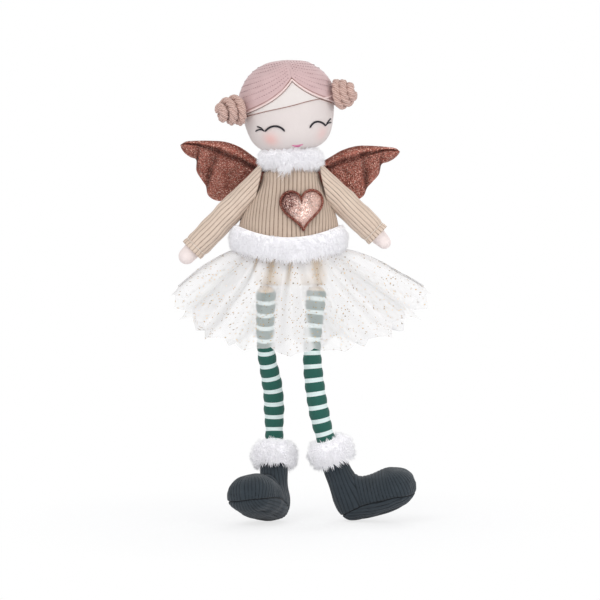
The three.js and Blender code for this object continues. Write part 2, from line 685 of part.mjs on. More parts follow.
// Arms and sleeves: their inner ends are cut on the cone round the shoulder's swing
function addArm(name, side, handSide, handDrop) {
  const root = point(side * ARM_ROOT_SIDE, 0, SHOULDER_JOINT_HEIGHT);
  const tip = root.clone().add(point(side * handSide, 0, -handDrop));
  const path = new THREE.LineCurve3(root, tip);
  const length = path.getLength();
  const cone = shoulderCone(side, 0);
  const swell = (d) => ARM_RADIUS * (1 - ARM_SWELL + ARM_SWELL * Math.sin((d / length) * Math.PI));
  const armShape = (inset, longer) => {
    const end = length - inset;
    const tipRadius = ARM_RADIUS - inset;
    const distances = [-longer, length * 0.3, length * 0.6]
      .concat(ROUND_SHARES.map((v) => end - v * tipRadius).reverse());
    return limbForm(path, distances, (d) => Math.min(swell(d) - inset, roundEnd(end - d, tipRadius)));
  };
  const arm = stuffed(armShape);
  add(doll, `${name}_arm`, common(arm.skin, cone), PINK_CLOTH);
  add(doll, `${name}_arm_stuffing`, common(arm.stuffing, cone), FIBRE);

  const cuff = length - HAND_LENGTH;
  const sleeveLevels = [0, 0.35, 0.7, 1].map((v) => v * cuff);
  const wave = (d) => Math.sin((d / cuff) * Math.PI * SLEEVE_SWELL_RUN);
  const sleeveSwell = (d) => SLEEVE_RADIUS * (1 - SLEEVE_SWELL + SLEEVE_SWELL * wave(d));
  const sleeve = limbForm(path, sleeveLevels, sleeveSwell);
  const bore = limbForm(path, [-SKIN, length * 0.3, length * 0.6, length], () => ARM_RADIUS + CLEAR);
  add(doll, `${name}_sleeve`, common(cut(sleeve, bore), cone), BEIGE_KNIT);
}
addArm('right', -1, RIGHT_HAND_SIDE, RIGHT_HAND_DROP);
addArm('left', 1, LEFT_HAND_SIDE, LEFT_HAND_DROP);

// Legs: the top of each is a ball round its hip, just under the seat
function legPath(sides, backs) {
  const hipHeight = -CLEAR - LEG_RADIUS;
  const reach = LEG_LENGTH - LEG_RADIUS;
  const places = LEG_SHARES.map((share, n) =>
    point(sides[n], backs[n] - HIP_FORWARD, hipHeight - share * reach));
  const start = places[0].clone().sub(places[1]).setLength(LEG_RADIUS).add(places[0]);
  return new THREE.CatmullRomCurve3([start, ...places]);
}

function addLeg(name, sides, backs, bootTurn) {
  const path = legPath(sides, backs);
  const length = path.getLength();
  const wave = (d) => Math.cos((d / length) * TURN * LEG_WAVES);
  const swell = (d) => LEG_RADIUS * (1 - LEG_SWELL + LEG_SWELL * wave(d));
  const legShape = (inset, longer) => {
    const top = LEG_RADIUS - inset;
    const distances = ROUND_SHARES.map((v) => inset + v * top)
      .concat([0.25, 0.42, 0.58, 0.72, 0.86].map((v) => v * length), length + longer);
    return limbForm(path, distances, (d) => Math.min(swell(d) - inset, roundEnd(d - inset, top)));
  };
  const leg = stuffed(legShape);
  add(doll, `${name}_leg`, leg.skin, GREEN_STRIPE);
  add(doll, `${name}_leg_stuffing`, leg.stuffing, FIBRE);

  const down = path.getTangentAt(1);
  const boot = new THREE.Group();
  boot.position.copy(path.getPointAt(1)).addScaledVector(down, CLEAR);
  boot.quaternion.setFromUnitVectors(point(0, 0, -1), down);
  boot.rotateZ(degToRad(bootTurn));
  doll.add(boot);
  addBoot(boot, name);
}

// Boots, in their own frame: origin at the ankle, toe along -Y
const footRound = (share) => Math.sqrt(1 - Math.abs(2 * share - 1) ** FOOT_SQUARENESS);
const footHalfWidth = (share) => footRound(share)
  * lerp(HEEL_HALF_WIDTH, FOOT_HALF_WIDTH, smoothstep(share, HEEL_SHARE, BALL_SHARE));
const FOOT_ROWS = 8;
const FOOT_SIDES = 14;

function footForm(inset) {
  const low = inset - BOOT_HEIGHT;
  const sheet = (u, v) => {
    const share = (1 - Math.cos(v * Math.PI)) / 2;
    const angle = u * TURN;
    const round = footRound(share);
    const height = Math.max(0, Math.sin(angle)) ** FOOT_CROWN * (FOOT_HEIGHT - 2 * inset) * round;
    const width = Math.max(0, footHalfWidth(share) - inset * round);
    const back = HEEL_BEHIND - inset - share * (FOOT_LENGTH - 2 * inset);
    return point(width * Math.cos(angle), back, low + height);
  };
  const spine = (u, v) => point(0, sheet(0, v).y, low);
  return between(sheet, spine, FOOT_SIDES, FOOT_ROWS);
}

function bootForm(inset, longer) {
  const shaft = pin(SHAFT_RADIUS - inset, FOOT_HEIGHT / 3 - BOOT_HEIGHT, longer);
  return join(footForm(inset), shaft);
}

function soleForm() {
  const top = -BOOT_HEIGHT - CLEAR;
  const sheet = (u, v) => {
    const share = (1 - Math.cos(u * TURN)) / 2;
    const side = u < 0.5 ? -1 : 1;
    return point(side * footHalfWidth(share), HEEL_BEHIND - share * FOOT_LENGTH, top - v * SOLE_THICKNESS);
  };
  const spine = (u, v) => point(0, HEEL_BEHIND - FOOT_LENGTH / 2, top - v * SOLE_THICKNESS);
  return between(sheet, spine, FOOT_SIDES + 4, 1);
}

function cuffSheet(thickness) {
  return (u, v) => {
    const share = level(roundLevels, v);
    const radius = SHAFT_RADIUS + CLEAR + thickness * lerp(FUR_EDGE, 1, bulge(share));
    return oval(radius, radius, u * TURN, lerp(-CUFF_FUR_DROP, CUFF_FUR_RISE, share));
  };
}

function addBoot(boot, name) {
  const parts = stuffed(bootForm);
  const furThickness = CUFF_FUR_RADIUS - SHAFT_RADIUS - CLEAR;
  const cuff = between(cuffSheet(furThickness), cuffSheet(0), ROUND, TRIM_ROWS);
  add(boot, `${name}_boot_upper`, parts.skin, SLATE_CORD);
  add(boot, `${name}_boot_stuffing`, parts.stuffing, FIBRE);
  add(boot, `${name}_boot_sole`, soleForm(), SLATE_CORD);
  add(boot, `${name}_boot_fur_cuff`, cuff, WHITE_FUR);
}
addLeg('right', RIGHT_LEG_SIDES, RIGHT_LEG_BACKS, RIGHT_BOOT_TURN);
addLeg('left', LEFT_LEG_SIDES, LEFT_LEG_BACKS, LEFT_BOOT_TURN);

// Wings: two panels with wadding between them, with three feather lobes
function wingOutline(side, inset) {
  const span = WING_SPAN - inset;
  const tall = WING_ROOT_TALL + WING_RISE - 2 * inset;
  const place = (across, up) => [side * (inset + across * (span - inset)), inset + up * tall];
  const rootTop = WING_ROOT_TALL / (WING_ROOT_TALL + WING_RISE);
  const shape = new THREE.Shape();
  shape.moveTo(...place(0, 0));
  shape.lineTo(...place(0, rootTop));
  shape.bezierCurveTo(...place(0.3, 0.62), ...place(0.4, 1), ...place(0.64, 1));
  shape.lineTo(...place(0.9, 1));
  shape.quadraticCurveTo(...place(1.06, 0.94), ...place(0.95, 0.77));
  shape.quadraticCurveTo(...place(0.91, 0.71), ...place(0.85, 0.7));
  shape.quadraticCurveTo(...place(0.87, 0.4), ...place(0.76, 0.26));
  shape.quadraticCurveTo(...place(0.77, 0), ...place(0.6, 0));
  return shape;
}

function wingLayer(side, inset, depth, puff, back) {
  const settings = {
    depth,
    curveSegments: 4,
    bevelEnabled: puff > 0,
    bevelThickness: puff,
    bevelSize: puff,
    bevelOffset: -puff,
    bevelSegments: 2,
  };
  return new THREE.ExtrudeGeometry(wingOutline(side, inset), settings)
    .rotateX(QUARTER)
    .translate(0, back - puff, 0);
}

// The depth of the pullover's back at a distance from its middle, on the flat facet there
function pulloverBack(side, height) {
  const facet = TURN / ROUND;
  const share = side / (pulloverHalfWidth(height) * Math.sin(facet));
  return pulloverHalfDepth(height) * lerp(1, Math.cos(facet), share);
}

function addWing(name, side, roll) {
  const wing = new THREE.Group();
  const front = pulloverBack(WING_ROOT_GAP + WING_PUFF, WING_ROOT_LOW) + CLEAR;
  wing.position.set(side * WING_ROOT_GAP, front, WING_ROOT_LOW);
  wing.rotation.y = degToRad(roll);
  doll.add(wing);
  const panel = WING_PANEL + 2 * WING_PUFF;
  const layers = [
    ['front', 0, WING_PANEL, WING_PUFF, panel, COPPER_GLITTER],
    ['wadding', WADDING_INSET, WADDING, 0, panel + CLEAR + WADDING, FIBRE],
    ['back', 0, WING_PANEL, WING_PUFF, 2 * panel + 2 * CLEAR + WADDING, COPPER_GLITTER],
  ];
  for (const [layer, inset, depth, puff, back, finish] of layers) {
    add(wing, `${name}_wing_${layer}`, wingLayer(side, inset, depth, puff, back), finish);
  }
}
addWing('right', -1, RIGHT_WING_ROLL);
addWing('left', 1, LEFT_WING_ROLL);

export default doll;
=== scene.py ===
# %% [markdown]
# # A cloth angel doll
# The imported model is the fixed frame: it says where every piece of the doll is and what moves it.
# This lesson sews the doll's looks round that frame: canvas head, felt hair, rope buns, ribbed pullover,
# glitter wings, tulle skirt, striped stockings, ribbed boots and white fur. All sizes are in millimetres
# and become metres only when a mesh is made.

# %% Load the frame
import json
import math

import bmesh
import bpy
import numpy as np
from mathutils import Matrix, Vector


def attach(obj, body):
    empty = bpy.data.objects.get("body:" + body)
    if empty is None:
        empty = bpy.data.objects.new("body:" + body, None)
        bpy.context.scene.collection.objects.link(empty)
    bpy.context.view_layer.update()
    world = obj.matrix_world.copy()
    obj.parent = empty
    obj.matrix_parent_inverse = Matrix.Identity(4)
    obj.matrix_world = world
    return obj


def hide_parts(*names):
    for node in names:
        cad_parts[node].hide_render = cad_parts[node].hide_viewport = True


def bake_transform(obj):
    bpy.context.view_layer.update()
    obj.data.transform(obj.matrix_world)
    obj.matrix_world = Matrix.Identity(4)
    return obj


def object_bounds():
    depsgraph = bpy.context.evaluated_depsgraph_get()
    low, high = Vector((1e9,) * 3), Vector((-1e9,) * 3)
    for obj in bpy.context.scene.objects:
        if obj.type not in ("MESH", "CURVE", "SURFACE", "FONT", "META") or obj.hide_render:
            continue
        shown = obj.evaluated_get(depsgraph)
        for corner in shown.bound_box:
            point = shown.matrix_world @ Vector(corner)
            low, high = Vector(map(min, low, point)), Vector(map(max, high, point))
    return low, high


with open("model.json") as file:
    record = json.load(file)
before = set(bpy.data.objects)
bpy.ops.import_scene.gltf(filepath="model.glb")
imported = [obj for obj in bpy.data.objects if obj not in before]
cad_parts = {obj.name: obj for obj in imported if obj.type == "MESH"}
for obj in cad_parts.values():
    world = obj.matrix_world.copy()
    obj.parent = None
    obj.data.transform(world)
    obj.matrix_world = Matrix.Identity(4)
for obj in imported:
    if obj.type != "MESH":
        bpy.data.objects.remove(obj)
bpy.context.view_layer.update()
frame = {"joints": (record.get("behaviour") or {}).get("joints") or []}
MM = 0.001
TURN = 2 * math.pi
QUARTER = math.pi / 2
WHITE = (1, 1, 1, 1)
SIDES = {"right": -1, "left": 1}  # the doll's own sides and the sign of x there
JOINTS = {joint["name"]: joint for joint in frame["joints"]}

# %% [markdown]
# ## Camera and lamps
# The photograph looks straight at the doll with a long lens, so the camera stands far away on the -Y side.
# One pixel of the 600 pixel picture is one millimetre at the doll's middle. The light is a large soft lamp
# from the upper left, a weaker one from the right, a rim lamp behind and, made last, a pale sky.

# %% Camera
PICTURE = 600  # pixels across and down
SENSOR = 36.0
CAMERA_DISTANCE = 2400.0
CAMERA_RISE = math.radians(2)
AIM = np.array([9.0, 0.0, -15.0])  # what the middle of the picture shows
LENS = SENSOR * CAMERA_DISTANCE / PICTURE
SIGHT_END = 20.0  # metres
NET_CROSSINGS = 64  # how often a sight line along the folded net may cross it

camera = bpy.data.objects.new("camera", bpy.data.cameras.new("camera"))
camera.data.lens = LENS
camera.data.sensor_width = SENSOR
camera.data.clip_end = SIGHT_END
CAMERA_AT = AIM + CAMERA_DISTANCE * np.array([0, -math.cos(CAMERA_RISE), math.sin(CAMERA_RISE)])
camera.location = CAMERA_AT * MM
camera.rotation_euler = (QUARTER - CAMERA_RISE, 0, 0)
bpy.context.scene.collection.objects.link(camera)
bpy.context.scene.camera = camera
bpy.context.scene.view_settings.view_transform = "Standard"
bpy.context.scene.cycles.transparent_max_bounces = NET_CROSSINGS


def pixel_rays(pixels):
    """Directions from the camera through picture points: right and down of the middle, then tilted."""
    flat = np.asarray(pixels, float) - PICTURE / 2
    local = np.stack([flat[..., 0], -flat[..., 1], np.full(flat.shape[:-1], -PICTURE * LENS / SENSOR)], -1)
    tilt = QUARTER - CAMERA_RISE
    turn = np.array([[1, 0, 0], [0, math.cos(tilt), -math.sin(tilt)], [0, math.sin(tilt), math.cos(tilt)]])
    return local @ turn.T / np.linalg.norm(local, axis=-1, keepdims=True)


print("camera: lens", round(LENS, 1), "mm")

# %% Lamps


def soft_lamp(name, place, size, watts):
    """A square area lamp at a place, pointing at the origin."""
    lamp = bpy.data.lights.new(name, "AREA")
    lamp.size = size
    lamp.energy = watts
    thing = bpy.data.objects.new(name, lamp)
    thing.location = place
    thing.rotation_euler = Vector(place).to_track_quat("Z", "Y").to_euler()
    bpy.context.scene.collection.objects.link(thing)


soft_lamp("key_lamp", (-1.0, -1.7, 1.5), size=1.4, watts=21)
soft_lamp("fill_lamp", (1.6, -1.5, 0.5), size=1.6, watts=16)
soft_lamp("rim_lamp", (0.5, 1.3, 1.3), size=1.0, watts=9)
print("lamps:", len(bpy.data.lights))

# %% [markdown]
# ## Helpers for meshes
# Every soft piece is a surface: a grid of points worked out from two parameters, or a ring carried along a
# path. One helper turns such grids into a mesh with its own UV map in metres and welds the seams and poles.
# Values that a finish needs, such as the depth of a rib, are stored on the points as attributes.

# %% Grids into meshes
WELD = 1e-6  # metres below which two points become one
SLIVER = 1e-7  # metres below which an edge is taken out


def quads_of(rows, columns):
    """Corner numbers of a grid's quads, row by row."""
    j, i = np.meshgrid(np.arange(rows - 1), np.arange(columns - 1), indexing="ij")
    first = (j * columns + i).ravel()
    return np.stack([first, first + 1, first + columns + 1, first + columns], -1)


def reach_along(points, axis):
    """How far along its line each point lies: the sum of the steps before it."""
    steps = np.diff(points, axis=axis, prepend=np.take(points, [0], axis))
    return np.linalg.norm(steps, axis=-1).cumsum(axis)


def surface(points, uv=None, **marks):
    """A grid of points, rows by columns by 3, with its UV in millimetres and values marked on its points."""
    rows, columns = points.shape[:2]
    if uv is None:
        across = reach_along(points, 1)
        along = reach_along(points, 0)
        uv = np.stack([across, along.mean(1, keepdims=True) + 0 * across], -1)
    return {
        "points": points.reshape(-1, 3),
        "faces": [quads_of(rows, columns)],
        "uv": np.broadcast_to(uv, (rows, columns, 2)).reshape(-1, 2),
        "marks": {k: np.broadcast_to(v, (rows, columns)).ravel() for k, v in marks.items()},
    }


def mesh_of(name, parts, weld, closed):
    """One mesh from several surfaces, in metres, with welded seams and with its faces turned outwards."""
    starts = np.cumsum([0] + [len(part["points"]) for part in parts])
    points = np.concatenate([part["points"] for part in parts]) * MM
    uv = np.concatenate([part["uv"] for part in parts]) * MM
    faces = []
    for start, part in zip(starts, parts):
        for block in part["faces"]:
            faces.extend((block + start).tolist())
    mesh = bpy.data.meshes.new(name)
    mesh.from_pydata(points.tolist(), [], faces)
    corner = np.empty(len(mesh.loops), np.int32)
    mesh.loops.foreach_get("vertex_index", corner)
    mesh.uv_layers.new(name="cloth").data.foreach_set("uv", uv[corner].astype(np.float32).ravel())
    for mark in {key for part in parts for key in part["marks"]}:
        values = [part["marks"].get(mark, np.zeros(len(part["points"]))) for part in parts]
        layer = mesh.attributes.new(mark, "FLOAT", "POINT")
        layer.data.foreach_set("value", np.concatenate(values).astype(np.float32))
    if weld:
        work = bmesh.new()
        work.from_mesh(mesh)
        bmesh.ops.remove_doubles(work, verts=work.verts, dist=WELD)
        bmesh.ops.dissolve_degenerate(work, edges=work.edges, dist=SLIVER)
        if closed:
            bmesh.ops.recalc_face_normals(work, faces=work.faces)
        work.to_mesh(mesh)
        work.free()
    mesh.shade_smooth()
    return mesh


def piece(name, parts, material, body, stands_for=None, weld=True, closed=True):
    """A finished piece at the origin: made, painted, riding on its body and standing for its node."""
    thing = bpy.data.objects.new(name, mesh_of(name, parts, weld, closed))
    bpy.context.scene.collection.objects.link(thing)
    thing.data.materials.append(material)
    if body:
        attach(thing, body)
    if stands_for:
        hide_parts(stands_for)
    print(f"{name}: {len(thing.data.polygons)} faces")
    return thing


# %% Shapes in numpy
RIPPLE_WAVES = 9
SPAN_STEPS = 40  # points of a smooth line between two of the points that it goes through
HALVINGS = 40  # enough to find a crossing far closer than it shows


def unit(vectors):
    """Vectors cut to length one."""
    return vectors / np.maximum(np.linalg.norm(vectors, axis=-1, keepdims=True), 1e-12)


def mix(low, high, share):
    """The value a share of the way from low to high."""
    return low + (high - low) * share


def ease(share):
    """A half wave from 0 to 1 that starts and ends level."""
    share = np.clip(share, 0, 1)
    return share * share * (3 - 2 * share)


def quarter_round(share):
    """A quarter circle from 0 to 1 that starts upright and ends level, as a round end does."""
    return np.sqrt(1 - (1 - np.clip(share, 0, 1)) ** 2)


def half_round(share, power=2):
    """A half circle over a share from 0 to 1; a higher power makes it squarer."""
    return np.sqrt(np.maximum(0, 1 - np.abs(2 * share - 1) ** power))


def eased(places, values, at):
    """Values at places, joined by half waves that start and end level."""
    places = np.asarray(places, float)
    values = np.asarray(values, float)
    k = np.clip(np.searchsorted(places, at, side="right") - 1, 0, len(places) - 2)
    return mix(values[k], values[k + 1], ease((at - places[k]) / (places[k + 1] - places[k])))


def oval(half_width, half_depth, angle, height):
    """Points of upright ovals; the angle is 0 in front and grows towards the doll's left."""
    x, y, z = np.broadcast_arrays(half_width * np.sin(angle), -half_depth * np.cos(angle), height)
    return np.stack([x, y, z], -1)


def normals_of(points):
    """Unit normals of a grid: the cross product of its two directions."""
    along = np.gradient(points, axis=0)
    across = np.gradient(points, axis=1)
    return unit(np.cross(across, along))


def ripples(points, size, seed):
    """A smooth wavy field between about -1 and 1: a sum of sine waves of random way, length and start."""
    draw = np.random.default_rng(seed)
    ways = unit(draw.normal(size=(RIPPLE_WAVES, 3)))
    ways = ways * TURN / (size * draw.uniform(0.6, 1.7, (RIPPLE_WAVES, 1)))
    starts = draw.uniform(0, TURN, RIPPLE_WAVES)
    return np.sin(points @ ways.T + starts).sum(-1) / math.sqrt(RIPPLE_WAVES)


def tube(path, radius, sides, start_side=(0, 1, 0)):
    """A ring carried along a path, rows by columns: each ring stands square to the path, and the radius may
    vary along it."""
    along = unit(np.gradient(path, axis=0))
    side = unit(np.cross(np.broadcast_to(start_side, path.shape), along))
    up = np.cross(along, side)
    angle = np.linspace(0, TURN, sides + 1)
    reach = np.broadcast_to(np.asarray(radius, float).reshape(-1, 1), (len(path), sides + 1))
    return (path[:, None] + reach[..., None]
            * (side[:, None] * np.cos(angle)[:, None] + up[:, None] * np.sin(angle)[:, None]))


def pole(ring):
    """A ring of points drawn in to its middle."""
    return ring.mean(1, keepdims=True) + 0 * ring


def round_grid(columns, rows):
    """A grid's angle round, over a whole turn, and its share along."""
    return np.meshgrid(np.linspace(0, TURN, columns), np.linspace(0, 1, rows))


def two_faced(outside, inside, shut=False):
    """Rows over a sheet's outside and back along its inside; shut joins the last row to the first."""
    return np.concatenate([outside, inside[::-1], outside[:1]] if shut else [outside, inside[::-1]])


def disc(ring, count):
    """Rows that fill a ring, from its middle to just inside it."""
    return mix(pole(ring), ring, np.linspace(0, 1, count)[:-1, None, None])


def round_tips(distance, length, radius):
    """The share of the radius near both round ends of a thread or limb."""
    return quarter_round(np.minimum(distance, length - distance) / radius)


def thread(path, radius, sides=6, taper=True):
    """A sewn thread along points: a smooth line through them with round ends."""
    way = resample(path, max(8, int(path_length(path) / radius / 1.5)))
    distance = np.linspace(0, path_length(way), len(way))
    thick = radius * (round_tips(distance, distance[-1], radius) if taper else np.ones(len(way)))
    across = unit(way[-1] - way[0])
    helper = np.eye(3)[np.argmin(np.abs(across))]
    return surface(tube(way, thick, sides, helper))


def path_length(path):
    """The length of a line of points."""
    return float(np.linalg.norm(np.diff(path, axis=0), axis=-1).sum())


def resample(path, count):
    """Points at even steps along a line of points."""
    steps = reach_along(path, 0)
    at = np.linspace(0, steps[-1], count)
    return np.stack([np.interp(at, steps, path[:, k]) for k in range(path.shape[1])], -1)


def curve_through(points, count):
    """A smooth line through points: a centripetal Catmull-Rom curve, sampled at even steps."""
    points = np.asarray(points, float)
    ends = np.concatenate([[2 * points[0] - points[1]], points, [2 * points[-1] - points[-2]]])
    knots = np.concatenate([[0], np.sqrt(np.linalg.norm(np.diff(ends, axis=0), axis=-1)).cumsum()])
    pairs = list(zip(knots, knots[1:]))[1:-1]
    spans = [np.linspace(low, high, SPAN_STEPS, endpoint=False) for low, high in pairs]
    at = np.append(np.concatenate(spans), knots[-2])
    k = np.clip(np.searchsorted(knots, at, side="right") - 1, 1, len(ends) - 3)

    def step(a, b, low, high):
        """A straight blend from a at the low knot to b at the high one."""
        return a * ((high - at) / (high - low))[:, None] + b * ((at - low) / (high - low))[:, None]

    p, t = [ends[k + n] for n in (-1, 0, 1, 2)], [knots[k + n] for n in (-1, 0, 1, 2)]
    first = [step(p[n], p[n + 1], t[n], t[n + 1]) for n in range(3)]
    second = [step(first[n], first[n + 1], t[n], t[n + 2]) for n in range(2)]
    return resample(step(second[0], second[1], t[1], t[2]), count)


def side_and_up(ways, steep):
    """Two directions square to each way: the cross product with Z, or with X where the way is steep."""
    helper = np.where(np.abs(ways[:, 2:]) < steep, [[0, 0, 1.0]], [[1.0, 0, 0]])
    side = unit(np.cross(ways, helper))
    return side, np.cross(ways, side)


def stitches(places, ways, length, radius):
    """Many short stitches at once: flat six-sided beads along a direction at each place."""
    ways = unit(ways)
    side, up = side_and_up(ways, 0.9)
    share = np.array([-0.5, -0.32, 0.32, 0.5])
    thick = np.array([0.25, 1, 1, 0.25])
    angle = np.linspace(0, TURN, 7)
    ring = side[:, None, None] * np.cos(angle)[:, None] + up[:, None, None] * np.sin(angle)[:, None]
    beads = (places[:, None, None] + ways[:, None, None] * (share * length)[:, None, None]
             + ring * (thick * radius)[:, None, None])
    return [surface(bead) for bead in beads]


def turned_frame(joint, turn):
    """The place and rotation of a part's own frame: its origin on the joint, its up along the joint's axis,
    then turned about that axis."""
    up = unit(np.array(joint["axis"], float))
    up = up if up[2] > 0 else -up
    v = np.cross([0, 0, 1], up)
    skew = np.array([[0, -v[2], v[1]], [v[2], 0, -v[0]], [-v[1], v[0], 0]])
    lean = np.eye(3) + skew + skew @ skew / (1 + up[2])
    c, s = math.cos(math.radians(turn)), math.sin(math.radians(turn))
    return np.array(joint["pos_m"]) / MM, lean @ np.array([[c, -s, 0], [s, c, 0], [0, 0, 1]])


def placed(points, place):
    """Points of a part's own frame, in the doll's frame."""
    origin, turn = place
    return points @ turn.T + origin


# %% [markdown]
# ## Shared effects for finishes
# Cloth differs in colour and grain but is built of the same few effects, so each effect is one node group:
# a weave of crossing threads on the UV map, soft blotches of tone, short fibres, and glitter flakes that each
# face their own way. A group only hands out values, colours and normals; the shader stays in the material.

# %% Node helpers


def group_of(name, inputs, outputs):
    """A new node group with its sockets: (name, kind, value) going in and (name, kind) coming out."""
    tree = bpy.data.node_groups.new(name, "ShaderNodeTree")
    for label, kind, value in inputs:
        tree.interface.new_socket(label, in_out="INPUT", socket_type=kind).default_value = value
    for label, kind in outputs:
        tree.interface.new_socket(label, in_out="OUTPUT", socket_type=kind)
    return tree, tree.nodes.new("NodeGroupInput"), tree.nodes.new("NodeGroupOutput")


def node(tree, kind, links=None, **values):
    """A node with its settings; links feed its inputs, by name or number, from sockets or plain values."""
    made = tree.nodes.new(kind)
    for key, value in values.items():
        setattr(made, key, value)
    for key, source in (links or {}).items():
        if isinstance(source, bpy.types.NodeSocket):
            tree.links.new(source, made.inputs[key])
        else:
            made.inputs[key].default_value = source
    return made


def maths(tree, operation, a, b=0.0):
    """One sum on two values."""
    return node(tree, "ShaderNodeMath", {0: a, 1: b}, operation=operation).outputs[0]


def vector_maths(tree, operation, a, b=(0, 0, 0)):
    """One sum on two vectors."""
    return node(tree, "ShaderNodeVectorMath", {0: a, 1: b}, operation=operation).outputs[0]


def smooth_range(tree, value, low, high, start=0.0):
    """A value that eases from the start to 1 while another goes from low to high."""
    ends = {"Value": value, "From Min": low, "From Max": high, "To Min": start}
    return node(tree, "ShaderNodeMapRange", ends, interpolation_type="SMOOTHSTEP").outputs[0]


def place_on(tree, kind):
    """Where the shaded point lies: on the UV map, or in the object."""
    return node(tree, "ShaderNodeTexCoord").outputs[kind]


def scaled(tree, vector, factor):
    """A vector times a number."""
    return node(tree, "ShaderNodeVectorMath", {0: vector, "Scale": factor}, operation="SCALE").outputs[0]


def weighed(tree, a, share_a, b, share_b):
    """The sum of two values, each times its own weight."""
    return maths(tree, "ADD", maths(tree, "MULTIPLY", a, share_a), maths(tree, "MULTIPLY", b, share_b))


def linear(code):
    """A colour written as six hex digits, as the shader wants it: linear red, green, blue and full alpha."""
    channels = np.array([int(code[i:i + 2], 16) for i in (0, 2, 4)]) / 255
    shown = np.where(channels <= 0.04045, channels / 12.92, ((channels + 0.055) / 1.055) ** 2.4)
    return (*shown.tolist(), 1.0)


def blend_colours(tree, factor, low, high):
    """A colour between two colours, each a socket or six hex digits."""
    low, high = [linear(colour) if isinstance(colour, str) else colour for colour in (low, high)]
    return node(tree, "ShaderNodeMix", {0: factor, 6: low, 7: high}, data_type="RGBA").outputs[2]


# %% Weave: two sets of threads that cross, one over the other
FLOAT = "NodeSocketFloat"
VECTOR = "NodeSocketVector"
weave, into, out = group_of("weave", [("Pitch", FLOAT, 0.001)], [("Height", FLOAT), ("Tone", FLOAT)])
place = place_on(weave, "UV")
threads = scaled(weave, place, maths(weave, "DIVIDE", math.pi, into.outputs["Pitch"]))
split = node(weave, "ShaderNodeSeparateXYZ", {0: threads})
warp = maths(weave, "SINE", split.outputs[0])
weft = maths(weave, "SINE", split.outputs[1])
height = maths(weave, "ABSOLUTE", maths(weave, "MULTIPLY", warp, weft))
slub = node(weave, "ShaderNodeTexNoise", {"Vector": scaled(weave, place, 900.0), "Scale": 1.0, "Detail": 3.0})
weave.links.new(height, out.inputs["Height"])
weave.links.new(weighed(weave, height, 0.5, slub.outputs[0], 0.5), out.inputs["Tone"])

# %% Blotches: slow changes of tone over the cloth
blotch, into, out = group_of("blotches", [("Scale", FLOAT, 60.0)], [("Tone", FLOAT)])
place = place_on(blotch, "Object")
cloud = node(blotch, "ShaderNodeTexNoise", {"Vector": place, "Scale": into.outputs["Scale"], "Detail": 4.0})
blotch.links.new(cloud.outputs[0], out.inputs["Tone"])

# %% Fibres: a fine fuzz of short hairs
fuzz, into, out = group_of("fibres", [("Scale", FLOAT, 1800.0)], [("Height", FLOAT)])
place = place_on(fuzz, "Object")
fine = node(fuzz, "ShaderNodeTexNoise",
            {"Vector": place, "Scale": into.outputs["Scale"], "Detail": 3.0, "Roughness": 0.7})
fuzz.links.new(fine.outputs[0], out.inputs["Height"])

# %% Glitter: small flakes that each face their own way, some of which are painted pale as glints
# Painted glint: a flake whose random value is above this is given the pale glint colour.
PAINTED_GLINT_FROM = 0.86  # a flake flashes when its random value is above this
glitter, into, out = group_of(
    "glitter", [("Flakes", FLOAT, 1500.0), ("Tilt", FLOAT, 0.5)],
    [("Tone", FLOAT), ("Spark", FLOAT), ("Normal", VECTOR)])
place = place_on(glitter, "Object")
flake = node(glitter, "ShaderNodeTexVoronoi", {"Vector": place, "Scale": into.outputs["Flakes"]})
facing = vector_maths(glitter, "SUBTRACT", flake.outputs["Color"], (0.5, 0.5, 0.5))
shape = node(glitter, "ShaderNodeNewGeometry").outputs["Normal"]
leaning = vector_maths(glitter, "ADD", shape, scaled(glitter, facing, into.outputs["Tilt"]))
glitter.links.new(vector_maths(glitter, "NORMALIZE", leaning), out.inputs["Normal"])
tone = node(glitter, "ShaderNodeSeparateXYZ", {0: flake.outputs["Color"]})
glitter.links.new(tone.outputs[0], out.inputs["Tone"])
# Spark picks the flakes that the finish paints pale as glints.
glitter.links.new(maths(glitter, "GREATER_THAN", tone.outputs[1], PAINTED_GLINT_FROM), out.inputs["Spark"])
print("node groups:", [tree.name for tree in bpy.data.node_groups])

# %% Material helpers


def finish_of(name, roughness, sheen=0.0, metallic=0.0):
    """A new material with its shader; returns the material, its tree and the shader."""
    material = bpy.data.materials.new(name)
    material.use_nodes = True
    shader = material.node_tree.nodes["Principled BSDF"]
    shader.inputs["Roughness"].default_value = roughness
    shader.inputs["Metallic"].default_value = metallic
    shader.inputs["Sheen Weight"].default_value = sheen
    shader.inputs["Sheen Roughness"].default_value = 0.5
    shader.inputs["Specular IOR Level"].default_value = 0.25 if metallic == 0 else 0.5
    return material, material.node_tree, shader


def use(tree, group, **values):
    """A shared effect placed in a material with its own values."""
    made = tree.nodes.new("ShaderNodeGroup")
    made.node_tree = group
    for key, value in values.items():
        made.inputs[key].default_value = value
    return made


def bumped(tree, shader, height, strength, distance):
    """Feeds a height into the shader's normal."""
    bump = node(tree, "ShaderNodeBump", {"Height": height, "Strength": strength, "Distance": distance})
    tree.links.new(bump.outputs[0], shader.inputs["Normal"])


def painted(tree, shader, colour):
    """Feeds a colour into the shader."""
    tree.links.new(colour, shader.inputs["Base Color"])


def mark(tree, name):
    """A value stored on the mesh."""
    return node(tree, "ShaderNodeAttribute", attribute_name=name).outputs["Fac"]


# %% [markdown]
# ## Plain cloths, felt and thread
# The head is cream canvas with blushed cheeks, the hands are pale pink cotton, the hair is dusty pink felt.
# A plain cloth mixes two close tones by its weave and by slow blotches, and its threads make a fine relief.

# %% Woven cloths


